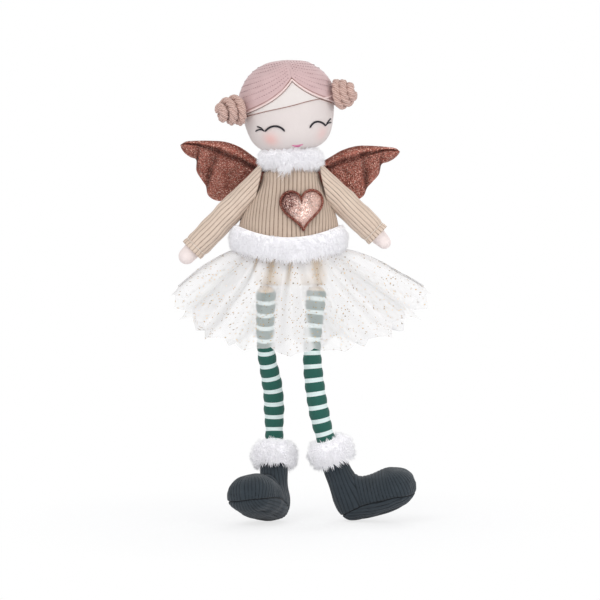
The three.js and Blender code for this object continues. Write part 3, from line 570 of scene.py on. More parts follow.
def woven_cloth(name, light, dark, pitch, relief=0.25):
    """A plain weave in two close tones."""
    material, tree, shader = finish_of(name, roughness=0.92, sheen=0.1)
    threads = use(tree, weave, Pitch=pitch)
    clouds = use(tree, blotch, Scale=45.0)
    tone = weighed(tree, threads.outputs["Tone"], 0.6, clouds.outputs["Tone"], 0.5)
    colour = blend_colours(tree, tone, dark, light)
    painted(tree, shader, colour)
    bumped(tree, shader, threads.outputs["Height"], relief, distance=0.0003)
    return material, tree, shader, colour


BLUSH_DEPTH = 0.5
CANVAS, canvas_tree, canvas_shader, canvas_colour = woven_cloth(
    "cream_canvas", "e4dcd9", "d1c6c3", pitch=0.0008)
blush_share = maths(canvas_tree, "MULTIPLY", mark(canvas_tree, "blush"), BLUSH_DEPTH)
painted(canvas_tree, canvas_shader, blend_colours(canvas_tree, blush_share, canvas_colour, "efa69d"))
BROW_CLOTH = woven_cloth("white_brow_cloth", "e4dedb", "d8d0cd", pitch=0.0005, relief=0.12)[0]
PINK_CLOTH = woven_cloth("pale_pink_cotton", "f6eae7", "e8dad6", pitch=0.0006)[0]
BODY_CLOTH = woven_cloth("beige_cotton", "e0cdb4", "cbb498", pitch=0.0006)[0]
FIBRE, fibre_tree, fibre_shader = finish_of("loose_fibre", roughness=1.0, sheen=0.3)
fibre_shader.inputs["Base Color"].default_value = linear("f4f2ee")
fibre_height = use(fibre_tree, fuzz, Scale=500.0).outputs["Height"]
bumped(fibre_tree, fibre_shader, fibre_height, strength=0.6, distance=0.001)

# %% Felt and thread


def felt(name, light, dark):
    """Brushed felt: blotchy tone and short fibres."""
    material, tree, shader = finish_of(name, roughness=0.95, sheen=0.35)
    fibres = use(tree, fuzz, Scale=1500.0)
    clouds = use(tree, blotch, Scale=160.0)
    tone = weighed(tree, fibres.outputs["Height"], 0.6, clouds.outputs["Tone"], 0.5)
    painted(tree, shader, blend_colours(tree, tone, dark, light))
    bumped(tree, shader, fibres.outputs["Height"], strength=0.3, distance=0.0004)
    return material


def sewing_thread(name, light, dark):
    """Twisted thread: fine slanting turns on the UV map."""
    material, tree, shader = finish_of(name, roughness=0.6, sheen=0.15)
    place = place_on(tree, "UV")
    lay = node(tree, "ShaderNodeTexWave", {"Vector": place, "Scale": 900.0, "Distortion": 1.0},
               bands_direction="DIAGONAL")
    painted(tree, shader, blend_colours(tree, lay.outputs["Fac"], dark, light))
    bumped(tree, shader, lay.outputs["Fac"], strength=0.3, distance=0.0002)
    return material


PINK_FELT = felt("dusty_pink_felt", "d5b9b9", "be9e9e")
DARK_FELT = felt("dark_felt", "855045", "6b3a30")
PIPING = felt("pale_pink_piping", "f4e1de", "e4c9c4")
BROWN_THREAD = sewing_thread("brown_thread", "a8857c", "8a665d")
BLACK_THREAD = sewing_thread("black_thread", "2c2830", "151318")
ROSE_THREAD = sewing_thread("rose_thread", "e08ab0", "c4668f")
PALE_THREAD = sewing_thread("pale_thread", "f3ece4", "d9cfc4")
MAUVE_THREAD = sewing_thread("mauve_thread", "b59598", "957579")
print("cloths:", len(bpy.data.materials))

# %% [markdown]
# ## Ribbed cloth
# The pullover and the boots are corduroy-like: rounded ribs with narrow grooves. The ribs are real relief on
# the mesh, and each point stores how high on its rib it lies, so the finish can paint shade into the grooves.

# %% Ribbed cloths


def ribbed_cloth(name, light, dark, groove_shade):
    """Ribbed cloth: the rib's height from the mesh paints shade in the grooves; short fibres roughen it."""
    material, tree, shader = finish_of(name, roughness=0.95, sheen=0.2)
    fibres = use(tree, fuzz, Scale=1400.0)
    clouds = use(tree, blotch, Scale=90.0)
    tone = weighed(tree, fibres.outputs["Height"], 0.5, clouds.outputs["Tone"], 0.5)
    cloth = blend_colours(tree, tone, dark, light)
    rib = smooth_range(tree, mark(tree, "rib"), 0.1, 0.92)
    painted(tree, shader, blend_colours(tree, rib, groove_shade, cloth))
    bumped(tree, shader, fibres.outputs["Height"], strength=0.45, distance=0.0005)
    return material


# The last colour is the shade painted in the grooves.
BEIGE_RIB = ribbed_cloth("beige_ribbed_cloth", "d4c1b0", "af9988", "5c4638")
# The sleeves use a lighter copy of the pullover's ribbed cloth.
SLEEVE_RIB = ribbed_cloth("pale_ribbed_cloth", "e6d4c4", "c4ae9d", "5c4638")
SLATE_RIB = ribbed_cloth("slate_corduroy", "3d464d", "242b31", "0e1216")


def rib_height(share):
    """The height of rounded ribs with narrow grooves; the share counts ribs across the cloth."""
    middle = np.abs(2 * (share - np.floor(share)) - 1)
    return np.sqrt(1 - middle ** 2.6)


print("ribbed cloths:", BEIGE_RIB.name, SLEEVE_RIB.name, SLATE_RIB.name)

# %% [markdown]
# ## Fur
# The collar, the hem and the boot cuffs are long white pile. Each is a soft ring under many tapered hairs:
# a hair is a bent three-sided spike. Hairs near the same clump lean to one tip, which gives the tufts.

# %% Hairs
WHITE_FUR, fur_tree, fur_shader = finish_of("white_fur", roughness=0.75, sheen=0.4)
fur_tone = use(fur_tree, blotch, Scale=220.0).outputs["Tone"]
# Painted glow: the fur gives off a little of its own colour, standing in for light scattered between its
# hairs.
FUR_PAINTED_GLOW = 0.16  # light that white pile scatters between its hairs
HAIR_RADIUS = 0.3
HAIR_MIDDLE = 0.75  # share of the radius left at a hair's middle
HAIR_STRAY = 0.28  # how much single hairs lean out of the pile
CLUMP_STRAY = 0.3
HAIR_BOW = 0.22  # how far a hair bows, as a share of its length
fur_colour = blend_colours(fur_tree, fur_tone, "f2f0f5", "ffffff")
painted(fur_tree, fur_shader, fur_colour)
# The fur glows in its own colour: a painted glow.
fur_tree.links.new(fur_colour, fur_shader.inputs["Emission Color"])
fur_shader.inputs["Emission Strength"].default_value = FUR_PAINTED_GLOW


def hairs(roots, ways, lengths, bend, seed, clumps):
    """Bent tapered hairs. A hair leaves its root along its way, bends towards `bend`, and its tip is drawn
    to the tip of its clump."""
    draw = np.random.default_rng(seed)
    chosen = draw.choice(len(roots), clumps, replace=False)
    nearest = np.empty(len(roots), int)
    for block in np.array_split(np.arange(len(roots)), 8):
        gap = roots[block, None] - roots[None, chosen]
        nearest[block] = np.argmin((gap ** 2).sum(-1), 1)
    loose = unit(ways + draw.normal(0, HAIR_STRAY, ways.shape))
    clump_way = unit(ways[chosen] + draw.normal(0, CLUMP_STRAY, (clumps, 3)))
    clump_tip = roots[chosen] + clump_way * lengths[chosen, None]
    own_tip = roots + loose * lengths[:, None] + bend * lengths[:, None]
    drawn = draw.uniform(0.25, 0.75, (len(roots), 1))
    tips = mix(own_tip, clump_tip[nearest] + bend * lengths[:, None], drawn)
    middles = mix(roots, tips, 0.5) + (loose - unit(tips - roots)) * lengths[:, None] * HAIR_BOW
    side, up = side_and_up(loose, 0.8)
    angle = np.arange(3) * TURN / 3
    ring = side[:, None] * np.cos(angle)[:, None] + up[:, None] * np.sin(angle)[:, None]
    points = np.concatenate([
        roots[:, None] + ring * HAIR_RADIUS,
        middles[:, None] + ring * HAIR_RADIUS * HAIR_MIDDLE,
        tips[:, None]], 1)
    first = np.arange(len(roots))[:, None] * 7
    quads = np.concatenate([first + np.array(quad) for quad in ((0, 1, 4, 3), (1, 2, 5, 4), (2, 0, 3, 5))])
    peaks = np.concatenate([first + np.array(peak) for peak in ((3, 4, 6), (4, 5, 6), (5, 3, 6))])
    flat = points.reshape(-1, 3)
    return {"points": flat, "faces": [quads, peaks], "uv": flat[:, [0, 2]], "marks": {}}


def fur_ring(name, body, stands_for, form, count, length, seed, bend, grain, clumps, tuft=None):
    """Fur round a ring: form(round, share) gives the skin; hairs stand on it, combed towards `grain`.
    tuft(round, share) may lengthen some of them."""
    draw = np.random.default_rng(seed)
    skin = form(*round_grid(97, 25))
    spot = draw.uniform(0, TURN, count)
    level = draw.uniform(0.01, 0.99, count)
    step = 1e-3
    roots = form(spot, level)
    across = form(spot + step, level) - form(spot - step, level)
    along = form(spot, level + step) - form(spot, level - step)
    out_way = unit(np.cross(across, along))
    from_middle = roots - skin.reshape(-1, 3).mean(0)
    flip = np.sign((out_way * from_middle).sum(-1, keepdims=True))
    ways = unit(out_way * np.where(flip == 0, 1, flip) + grain)
    lengths = length * draw.uniform(0.65, 1.25, count)
    if tuft is not None:
        lengths = lengths * tuft(spot, level)
    parts = [surface(skin), hairs(roots, ways, lengths, bend, seed + 1, clumps)]
    piece(name, parts, WHITE_FUR, body, stands_for, weld=False)


print("fur finish ready")

# %% [markdown]
# ## Body
# The stuffed body is an oval form from the flat seat up to the neck. Most of it is under the clothes, but its
# beige cloth shows through the tulle. The filling inside is the same form drawn in by the cloth's wall.

# %% Body and its filling
SKIN = 1.6  # thickness of a sewn cloth wall
FILL_GAP = 0.3
SEAT_ROUND = 6.0
NECK_TOP = 138.0
BODY_HEIGHTS = [0, 26, 107, 119]
BODY_HALF_WIDTHS = [36, 38, 26, 13]
BODY_HALF_DEPTHS = [24, 27, 19, 13]


def body_half(height):
    """Half of the body's width and depth at a height."""
    return [eased(BODY_HEIGHTS, sizes, height) for sizes in (BODY_HALF_WIDTHS, BODY_HALF_DEPTHS)]


def body_form(inset, columns=97):
    """The body's oval rings: eased half sizes by height, a rounded edge at the seat, closed at both ends."""
    heights = np.concatenate([SEAT_ROUND * (1 - np.cos(np.linspace(0, QUARTER, 9))),
                              np.linspace(SEAT_ROUND, NECK_TOP - inset, 70)[1:]])
    tuck = SEAT_ROUND - np.sqrt(np.maximum(0, SEAT_ROUND ** 2 - np.maximum(0, SEAT_ROUND - heights) ** 2))
    heights = np.maximum(heights, inset)
    angle, height = np.meshgrid(np.linspace(0, TURN, columns), heights)
    width, depth = [half - inset - tuck[:, None] for half in body_half(height)]
    wall = oval(width, depth, angle, height)
    return surface(np.concatenate([disc(wall[:1], 6), wall, disc(wall[-1:], 4)[::-1]]))


body = piece("doll_body", [body_form(0)], BODY_CLOTH, "torso", "body_skin")
piece("body_fill", [body_form(SKIN + FILL_GAP, 49)], FIBRE, "torso", "body_stuffing")

# %% [markdown]
# ## Pullover
# Two ribbed panels are sewn at the sides. The cloth is cut with its ribs upright, so a rib is a line at a
# fixed distance from the panel's middle, measured along the cloth, and the ribs run out at the side seams.
# The panel could be a plain cone with a striped picture; real relief keeps its outline and shadows right.

# %% Pullover panels
KNIT = 2.4  # thickness of the ribbed cloth
SHOULDER_FIT = 2.7
SIDE_PUFF = 6.0  # how far the slack cloth swells at the sides
SHOULDER_SQUARE = 2  # power that squares the shoulders
HEM_LEAN = -2.5  # how far the slack hem hangs to one side
HEM_FRONT = 45.0  # height of the edge in front
HEM_SIDE = 56.0  # and at the sides
HEM_HALF_WIDTH = 49.0
HEM_HALF_DEPTH = 36.0
SHOULDER, NECK_BASE = BODY_HEIGHTS[2:]
PANEL_COLUMNS = 361
RIB_PITCH = 4.2
RIB_RELIEF = 1.1


def pullover_half(height, body_sizes, hem):
    """Half a size of the pullover: it follows the body's shoulders and flares in a straight line below."""
    shoulder, neck = body_sizes[2:]
    rise = ease((height - SHOULDER) / (NECK_BASE - SHOULDER)) ** SHOULDER_SQUARE
    above = mix(shoulder, neck, rise) + SHOULDER_FIT
    below = mix(shoulder + SHOULDER_FIT, hem, (SHOULDER - height) / (SHOULDER - HEM_FRONT))
    return np.where(height >= SHOULDER, above, below)


def pullover_width(height):
    """Half of the pullover's width at a height."""
    return pullover_half(height, BODY_HALF_WIDTHS, HEM_HALF_WIDTH)


def pullover_depth(height):
    """Half of the pullover's depth at a height."""
    return pullover_half(height, BODY_HALF_DEPTHS, HEM_HALF_DEPTH)


def hem_height(angle):
    """The height of the pullover's edge: lowest in front."""
    return mix(HEM_SIDE, HEM_FRONT, np.maximum(0, np.cos(angle)) ** 2)


def pullover_panel(facing, seed):
    """Half of the pullover: an oval sheet with upright ribs, slack waves near the hem and a folded edge."""
    angle, share = np.meshgrid(np.linspace(-QUARTER, QUARTER, PANEL_COLUMNS), np.linspace(0, 1, 70))
    angle = angle + facing
    height = mix(hem_height(angle), NECK_BASE, share)
    below = np.clip((SHOULDER - height) / (SHOULDER - HEM_FRONT), 0, 1)
    puff = SIDE_PUFF * np.sin(math.pi * below ** 1.6) * np.sin(angle) ** 2
    flat = oval(pullover_width(height) + puff, pullover_depth(height), angle, height)
    flat[..., 0] += HEM_LEAN * ease(below)
    reach = reach_along(flat, 1)
    across = reach - reach[:, [PANEL_COLUMNS // 2]]
    sway = ripples(flat, 60, seed) * (1 - share)
    rib = rib_height((across + sway) / RIB_PITCH + 0.5)
    slack = 0.7 * ripples(flat, 34, seed + 1) * np.sin(math.pi * np.clip(share * 1.1, 0, 1))
    out_way = unit(oval(1, 1, angle, 0))
    face = flat + out_way * (RIB_RELIEF * (rib - 1) + np.minimum(slack, 0.4))[..., None]
    lining = flat - out_way * KNIT
    # the sheet is turned in at the hem and at the neck, with fewer rows inside
    fold = np.concatenate([lining[30::-10], face, lining[::-14]])
    marks = np.concatenate([0 * rib[30::-10] + 1, rib, 0 * rib[::-14] + 1])
    return surface(fold, rib=marks)


for name, facing, seed in (("front", 0, 11), ("back", math.pi, 12)):
    piece(f"pullover_{name}", [pullover_panel(facing, seed)], BEIGE_RIB, "torso", f"sweater_{name}",
          closed=False)

# %% [markdown]
# ## Padded heart
# A heart of rose glitter cloth is stuffed and sewn to felt on the pullover. The classic heart curve gives its
# outline, a dome gives the padding, and its edge is a ridged roll of copper glitter.

# %% Glitter cloths


def glitter_cloth(name, light, dark, glint_colour, roughness, flakes):
    """Metallic glitter cloth: each flake has its own tone and tilt, and some are painted pale as glints. The
    mesh's shade is painted: above 0 a painted highlight with more glints, below 0 painted shade."""
    material, tree, shader = finish_of(name, roughness, metallic=0.75)
    flake = use(tree, glitter, Flakes=flakes, Tilt=0.9)
    clouds = use(tree, blotch, Scale=70.0)
    tone = weighed(tree, flake.outputs["Tone"], 0.75, clouds.outputs["Tone"], 0.35)
    # Painted light and shade stored on the mesh: above 0 lighter, below 0 darker.
    shade = maths(tree, "MULTIPLY", mark(tree, "shade"), 0.6)
    cloth = blend_colours(tree, maths(tree, "ADD", tone, shade), dark, light)
    painted_glint = maths(tree, "MULTIPLY", flake.outputs["Spark"], maths(tree, "ADD", shade, 0.6))
    painted(tree, shader, blend_colours(tree, painted_glint, cloth, glint_colour))
    tree.links.new(flake.outputs["Normal"], shader.inputs["Normal"])
    return material


# The last colour of each is the painted glint; the painted shade moves the cloth between its two tones.
COPPER_GLITTER = glitter_cloth("copper_glitter", "b06a5b", "35150f", "ffd9c8", roughness=0.32, flakes=1900.0)
ROSE_GLITTER = glitter_cloth("rose_glitter", "f6cfc2", "5e2a24", "fff6f0", roughness=0.3, flakes=1300.0)

# %% Heart
HEART_AT = (11.2, 74.2)  # across and up
HEART_WIDTH = 41.0
HEART_TALL = 39.0
HEART_CROWN = 7.0  # how far the padding rises
HEART_TURN = math.radians(4)
HEART_SEAT = 2.2  # from the pullover to the padding's edge
HEART_UNDER = 1.9  # from the pullover to the underside of the padding
HEART_INSET = -0.6  # the padding ends inside its edge
FELT_MARGIN = 1.6  # how far the felt reaches past the heart
FELT_STANDS = (1.5, 0.2)  # from the pullover to the felt's two faces
EDGE_RADIUS = 1.35
EDGE_RIDGE = 0.2
EDGE_MARGIN = 0.2
EDGE_STAND = 2.9
EDGE_STEPS = 900


def heart_points(share, turn, grow, stand):
    """Points of the heart: the classic heart curve drawn in by the share, laid on the pullover's front."""
    curve = 13 * np.cos(turn) - 5 * np.cos(2 * turn) - 2 * np.cos(3 * turn) - np.cos(4 * turn)
    across = np.sin(turn) ** 3 * (HEART_WIDTH / 2 + grow) * share
    up = (curve + 2.5) / 29 * (HEART_TALL + 2 * grow) * share
    c, s = math.cos(HEART_TURN), math.sin(HEART_TURN)
    x = HEART_AT[0] + across * c - up * s
    z = HEART_AT[1] + across * s + up * c
    lean = HEM_LEAN * ease((SHOULDER - z) / (SHOULDER - HEM_FRONT))
    depth = pullover_depth(z) * np.sqrt(1 - ((x - lean) / pullover_width(z)) ** 2)
    return np.stack([x, -depth - stand, z], -1)


turn, share = round_grid(181, 40)
dome = HEART_SEAT + HEART_CROWN * (1 - share ** 3) ** 0.6
pucker = 0.35 * np.sin(turn * 31) * share ** 6 + 0.5 * ripples(heart_points(share, turn, 0, 0), 14, 21)
top = heart_points(share, turn, HEART_INSET, dome + pucker * (1 - share ** 8))
base = heart_points(share, turn, HEART_INSET, HEART_UNDER)
# Painted light and shade on the heart: darker on the upper left lobe and at the tip, lighter to the right.
across = (top[..., 0] - HEART_AT[0]) * 2 / HEART_WIDTH
up = (top[..., 2] - HEART_AT[1]) * 2 / HEART_TALL
shade = np.tanh(1.3 * (0.9 * across - 0.5 * up + 0.3)) - 0.8 * np.exp(-((up + 1) / 0.35) ** 2)
heart = piece("heart_pad", [surface(two_faced(top, base), shade=two_faced(shade, shade))], ROSE_GLITTER,
              "torso", "heart_cover")
turn, share = round_grid(121, 8)
felt_faces = [heart_points(share, turn, FELT_MARGIN, stand) for stand in FELT_STANDS]
piece("heart_felt", [surface(two_faced(*felt_faces))], DARK_FELT, "torso", "heart_backing")

# %% Rolled edge of the heart
edge = resample(heart_points(1.0, np.linspace(0, TURN, 721), EDGE_MARGIN, EDGE_STAND), EDGE_STEPS)
ridge = EDGE_RADIUS + EDGE_RIDGE * np.sin(np.arange(EDGE_STEPS) * TURN / 5)
roll = tube(edge, ridge, 10)
roll[-1] = roll[0]
piece("heart_satin_edge", [surface(roll)], COPPER_GLITTER, "torso")

# %% [markdown]
# ## Head
# The head is a stuffed canvas ball, a little wider than high, tilted to one side. The face is embroidered:
# arched closed eyes with lashes, and a small mouth. Picture points are carried along the camera's rays onto
# the canvas, so that the stitches sit on the head from any side. Blush is stored on the canvas points.

# %% Head frame and canvas
HEAD_TURN = 6.0
HEAD_HALF = np.array([46.0, 39.0, 43.5])
HEAD_FRAME = turned_frame(JOINTS["neck_turn"], HEAD_TURN)
HEAD_MIDDLE = np.array([1.5, 0, HEAD_HALF[2]])
CROWN_FULLNESS = 0.8  # 1 is an oval, and less is fuller
JAW_FULLNESS = 0.5
JAW_ANGLE = math.radians(135)


def head_reach(down):
    """How far out the head reaches at an angle down from the top: a sine to a power, fuller at the jaw."""
    fullness = mix(CROWN_FULLNESS, JAW_FULLNESS, ease((down - QUARTER) / (JAW_ANGLE - QUARTER)))
    return np.maximum(0, np.sin(down)) ** fullness


def head_points(around, down, grow):
    """Points over the head: an angle round from the front, an angle down from the top, and a stand-off."""
    reach = head_reach(down)
    local = np.stack([(HEAD_HALF[0] + grow) * reach * np.sin(around),
                      -(HEAD_HALF[1] + grow) * reach * np.cos(around),
                      (HEAD_HALF[2] + grow) * np.cos(down)], -1)
    return placed(local + HEAD_MIDDLE, HEAD_FRAME)


def on_head(pixels, grow):
    """Where the camera's rays through picture points meet the head, by halving the stretch across it."""
    origin, turn = HEAD_FRAME
    rays = pixel_rays(pixels)
    ways = rays @ turn
    start = (CAMERA_AT - origin) @ turn - HEAD_MIDDLE
    inner = -(ways * start).sum(-1)
    outer = inner - 2 * HEAD_HALF[0]
    for _ in range(HALVINGS):
        middle = (outer + inner) / 2
        spot = (start + ways * middle[..., None]) / (HEAD_HALF + grow)
        level = np.clip(spot[..., 2], -1, 1)
        within = np.hypot(spot[..., 0], spot[..., 1]) < head_reach(np.arccos(level))
        outer, inner = np.where(within, outer, middle), np.where(within, middle, inner)
    return CAMERA_AT + rays * inner[..., None]


def head_angles(points):
    """The angle round and the angle down of points on the head."""
    origin, turn = HEAD_FRAME
    local = ((points - origin) @ turn - HEAD_MIDDLE) / HEAD_HALF
    return np.arctan2(local[..., 0], -local[..., 1]), np.arccos(np.clip(local[..., 2], -1, 1))


BLUSH_PIXELS = [(270.5, 139.5), (322.5, 133.5)]
BLUSH_SIZE = 5.4
BLUSH_STRENGTH = np.array([1.0, 0.55])
around, down = np.meshgrid(np.linspace(0, TURN, 145), np.linspace(0, math.pi, 97))
canvas = head_points(around, down, 0.0)
canvas_uv = np.stack([around * HEAD_HALF[0], down * HEAD_HALF[2]], -1)
cheeks = on_head(np.array(BLUSH_PIXELS), 0.0)
gaps = np.linalg.norm(canvas[..., None, :] - cheeks, axis=-1)
blush = (np.exp(-(gaps / BLUSH_SIZE) ** 2 / 2) * BLUSH_STRENGTH).sum(-1)
head = piece("doll_head", [surface(canvas, canvas_uv, blush=blush)], CANVAS, "head", "head_skin")
around, down = np.meshgrid(np.linspace(0, TURN, 49), np.linspace(0, math.pi, 33))
piece("head_fill", [surface(head_points(around, down, -SKIN - FILL_GAP))], FIBRE, "head",
      "head_stuffing")

# %% Embroidered face
THREAD_STAND = 0.35  # how far a thread's middle stands off the canvas
EYE_THREAD = 1.0  # radius
LASH_THREAD = 0.72
MOUTH_THREAD = 0.6
LIP_THREAD = 0.4
EYE_LINES = [
    [(264.6, 131.8), (268.2, 128.4), (271.6, 126.7), (275.2, 126.2),
     (279, 126.9), (282.6, 129), (285.0, 131.8)],
    [(309.7, 128.4), (311.6, 125), (314.6, 122.4), (318.2, 121.6),
     (321.6, 122.5), (324.2, 124.2), (325.8, 126.4)],
]
LASH_LINES = [
    [(264.8, 131.6), (262.4, 130), (259.6, 129.6), (257, 130.4), (255.2, 131.6)],
    [(263.4, 130.2), (260.6, 127.9), (256.4, 126.3)],
    [(325.6, 126.2), (326.6, 124.4), (329, 122.8), (331.4, 122.5)],
    [(326.4, 124.4), (328.8, 120.8), (331.2, 118.4)],
]
MOUTH_LINE = [(291.8, 145.5), (295.2, 145.9), (299.0, 145.5), (303.2, 144.5)]
LIP_LINE = [(294.2, 146.5), (297.4, 146.8), (300.4, 146.3)]


def face_thread(pixels, radius):
    """A thread along picture points on the head."""
    return thread(on_head(curve_through(pixels, 60), THREAD_STAND), radius, 8)


eyes = [face_thread(line, EYE_THREAD) for line in EYE_LINES]
lashes = [face_thread(line, LASH_THREAD) for line in LASH_LINES]
piece("eyes_embroidery", eyes + lashes, BLACK_THREAD, "head")
mouth = [face_thread(MOUTH_LINE, MOUTH_THREAD), face_thread(LIP_LINE, LIP_THREAD)]
piece("mouth_embroidery", mouth, ROSE_THREAD, "head")

# %% [markdown]
# ## Hair
# The hair is felt: a cap over the back of the head and a swoop on each side of a centre part. A swoop's edge
# falls from the part in an exponential curve to the ear. It is piped with pale cord between two brown seams,
# rows of small stitches follow the swoop, and a short pale cord crosses the end of the left one.

# %% Hair felt
HAIR_EASE = 1.2
HAIR_LINING = 0.6  # stand-off of the felt's underside
FELT = 2.4
PART_ANGLE = 56.0
PART_TURN = math.radians(4)  # the part lies a little to the doll's left of the middle
SWOOP_DROPS = (39.5, 36.0)  # degrees that the doll's right and left swoop fall below the part
SWOOP_SPREADS = (28.0, 25.0)  # degrees of turn in which most of that is done
NAPE_ANGLE = 136.0


def hairline(around):
    """The angle down from the top where the hair ends: an exponential fall in front, a half wave behind."""
    turn = np.degrees((around - PART_TURN + math.pi) % TURN - math.pi)
    drop = np.where(turn < 0, *SWOOP_DROPS)
    spread = np.where(turn < 0, *SWOOP_SPREADS)
    turn = np.abs(turn)
    front = PART_ANGLE + drop * (1 - np.exp(-np.minimum(turn, 90) / spread))
    return np.radians(np.where(turn <= 90, front, mix(front, NAPE_ANGLE, ease((turn - 90) / 90))))


def hair_sheet(start, end, columns=90):
    """Felt over the head between two angles, rounded off at its lower edge and with upright sides."""
    turns = np.concatenate([[start], np.linspace(start, end, columns), [end]])
    around, share = np.meshgrid(turns, np.linspace(0, 1, 60))
    down = share * hairline(around)
    near = np.clip((1 - share) * hairline(around) * HEAD_HALF[2] / FELT, 0, 1)
    near[:, [0, -1]] = 0
    thick = (HAIR_EASE - HAIR_LINING + FELT) * quarter_round(near)
    wave = 0.25 * ripples(head_points(around, down, 0), 16, 31)
    outside = head_points(around, down, HAIR_LINING + thick + wave * near)
    inside = head_points(around, down, HAIR_LINING)
    return surface(two_faced(outside, inside))


SEAM = 0.0005  # half the gap between two felts, as an angle
piece("hair_back", [hair_sheet(QUARTER + SEAM, 3 * QUARTER - SEAM, 150)], PINK_FELT, "head", "hair_cap")
for name, side in SIDES.items():
    swoop = hair_sheet(PART_TURN + side * SEAM, side * (QUARTER - SEAM))
    piece(f"hair_swoop_{name}", [swoop], PINK_FELT, "head", f"hair_{name}_swoop")

# %% Piping, seams and rows of stitches
STITCH_ROWS = 8
STITCH_STEP = 2.5
STITCH_LENGTH = 1.2
STITCH_RADIUS = 0.34
PIPING_RADIUS = 0.85
CROSSING_RADIUS = 0.7
SEAM_RADIUS = 0.4
CROSSING_LINE = [(322.4, 98.6), (328, 97.2), (335, 93.8)]  # a pale cord from the edge up to the left bun
edge_turn = PART_TURN + np.linspace(-math.pi, math.pi, 721)
front_turn = edge_turn[np.abs(edge_turn) < QUARTER]
piping = head_points(edge_turn, hairline(edge_turn), HAIR_EASE + 0.8)
pipings = [thread(resample(half, 400), PIPING_RADIUS, 8, False) for half in (piping[:361], piping[360:])]
crossing_path = on_head(curve_through(CROSSING_LINE, 60), HAIR_EASE + FELT - 0.2)
crossing = thread(crossing_path, CROSSING_RADIUS, 8)
piece("hair_piping", pipings + [crossing], PIPING, "head")
seams = []
for drop, stand in ((-0.036, HAIR_EASE + FELT - 0.5), (0.026, 0.25)):  # on the felt and on the canvas
    for half in (front_turn[front_turn <= PART_TURN], front_turn[front_turn >= PART_TURN]):
        seams.append(thread(head_points(half, hairline(half) + drop, stand), SEAM_RADIUS))
piece("hair_seams", seams, BROWN_THREAD, "head")
rows = []
for side in SIDES.values():
    for share in np.linspace(0.28, 0.88, STITCH_ROWS):
        turns = np.linspace(PART_TURN + side * 0.09, side * QUARTER, 200)
        line = head_points(turns, hairline(turns) * share, HAIR_EASE + FELT + 0.1)
        spots = resample(line, int(path_length(line) / STITCH_STEP))
        rows += stitches(spots, np.gradient(spots, axis=0), STITCH_LENGTH, STITCH_RADIUS)
piece("hair_stitches", rows, MAUVE_THREAD, "head", weld=False)

# %% Brow cloth and its stitched line
BROW_LINE = [(243.5, 117.2), (262, 112.4), (290, 106.2), (312, 100.4), (322, 99.0), (329, 100.9),
             (336.5, 106)]
BROW_STANDS = (0.45, -0.6)  # from the canvas to the cloth's two faces
BROW_THREAD = 0.42  # radius
brow_path = curve_through(BROW_LINE, 161)
around, down = head_angles(on_head(brow_path, 0.0))
top = np.minimum(down, hairline(around) - 0.1)
around, down = around + np.zeros((24, 1)), mix(down, top, np.linspace(0, 1, 24)[:, None])
brow_faces = [head_points(around, down, stand) for stand in BROW_STANDS]
piece("brow_cloth", [surface(two_faced(*brow_faces))], BROW_CLOTH, "head", closed=False)
piece("brow_stitch", [thread(on_head(brow_path, 0.5), BROW_THREAD)], BROWN_THREAD, "head")

# %% [markdown]
# ## Rope buns
# Each bun is one cotton rope wound outwards in loops that get smaller. The rope is three strands laid round
# each other, so three tubes spiral about the bun's own helix. A plain core closes the bun inside.

# %% Buns
BUN_LOOPS = 3
BUN_ROPE = 4.05  # radius of the rope
BUN_PITCH = {-1: 9.0, 1: 6.6}  # the doll's left bun is wound closer
BUN_SINK = {-1: 1.4, 1: 2.6}  # how far the rope presses into the felt
BUN_FIRST_LOOP = 12.0
BUN_LAST_LOOP = 6.0
BUN_HEIGHT = {-1: 1.8, 1: 6.8}  # above the middle of the head
BUN_FORWARD = math.radians(20)
ROPE_STRANDS = 3
ROPE_LAY = 17.0  # length of rope in which a strand goes once round
STRAND_OUT = 0.5  # how far a strand's middle lies from the rope's, as a share of the rope's radius
STRAND_RADIUS = 0.56
BUN_CURL = 0.86  # share of the rope after which it goes no further out
ROPE, rope_tree, rope_shader = finish_of("tan_rope", roughness=0.9, sheen=0.25)
yarn = node(rope_tree, "ShaderNodeTexWave",
            {"Vector": place_on(rope_tree, "UV"), "Scale": 260.0, "Distortion": 2.0,
             "Detail": 2.0}, bands_direction="DIAGONAL").outputs["Fac"]
painted(rope_tree, rope_shader, blend_colours(rope_tree, yarn, "ac8c80", "dabab0"))
bumped(rope_tree, rope_shader, yarn, strength=0.5, distance=0.0005)


def bun_place(side, out_by, radius, angle):
    """Points round a bun's axis in the doll's frame: how far out from the hair, then radius and angle."""
    half = HEAD_HALF[:2] + HAIR_EASE + FELT
    hair = math.hypot(half[0] * math.cos(BUN_FORWARD), half[1] * math.sin(BUN_FORWARD))
    seat = hair + BUN_ROPE - BUN_SINK[side]
    x, y, z = np.broadcast_arrays(side * (seat + out_by), radius * np.cos(angle),
                                  BUN_HEIGHT[side] + side * radius * np.sin(angle))
    c, s = math.cos(-side * BUN_FORWARD), math.sin(-side * BUN_FORWARD)
    return placed(np.stack([c * x - s * y, s * x + c * y, z], -1) + HEAD_MIDDLE, HEAD_FRAME)


def bun_line(side):
    """The rope's middle line: loops that get smaller outwards, and an end that curls in to the middle."""
    share = np.linspace(0, 1, 900)
    radius = eased([0, 0.4, 0.8, 1], [BUN_FIRST_LOOP, BUN_FIRST_LOOP - 1.2, BUN_LAST_LOOP + 1, 1.6], share)
    out_by = np.minimum(share, BUN_CURL) * BUN_LOOPS * BUN_PITCH[side]
    return bun_place(side, out_by, radius, share * BUN_LOOPS * TURN)


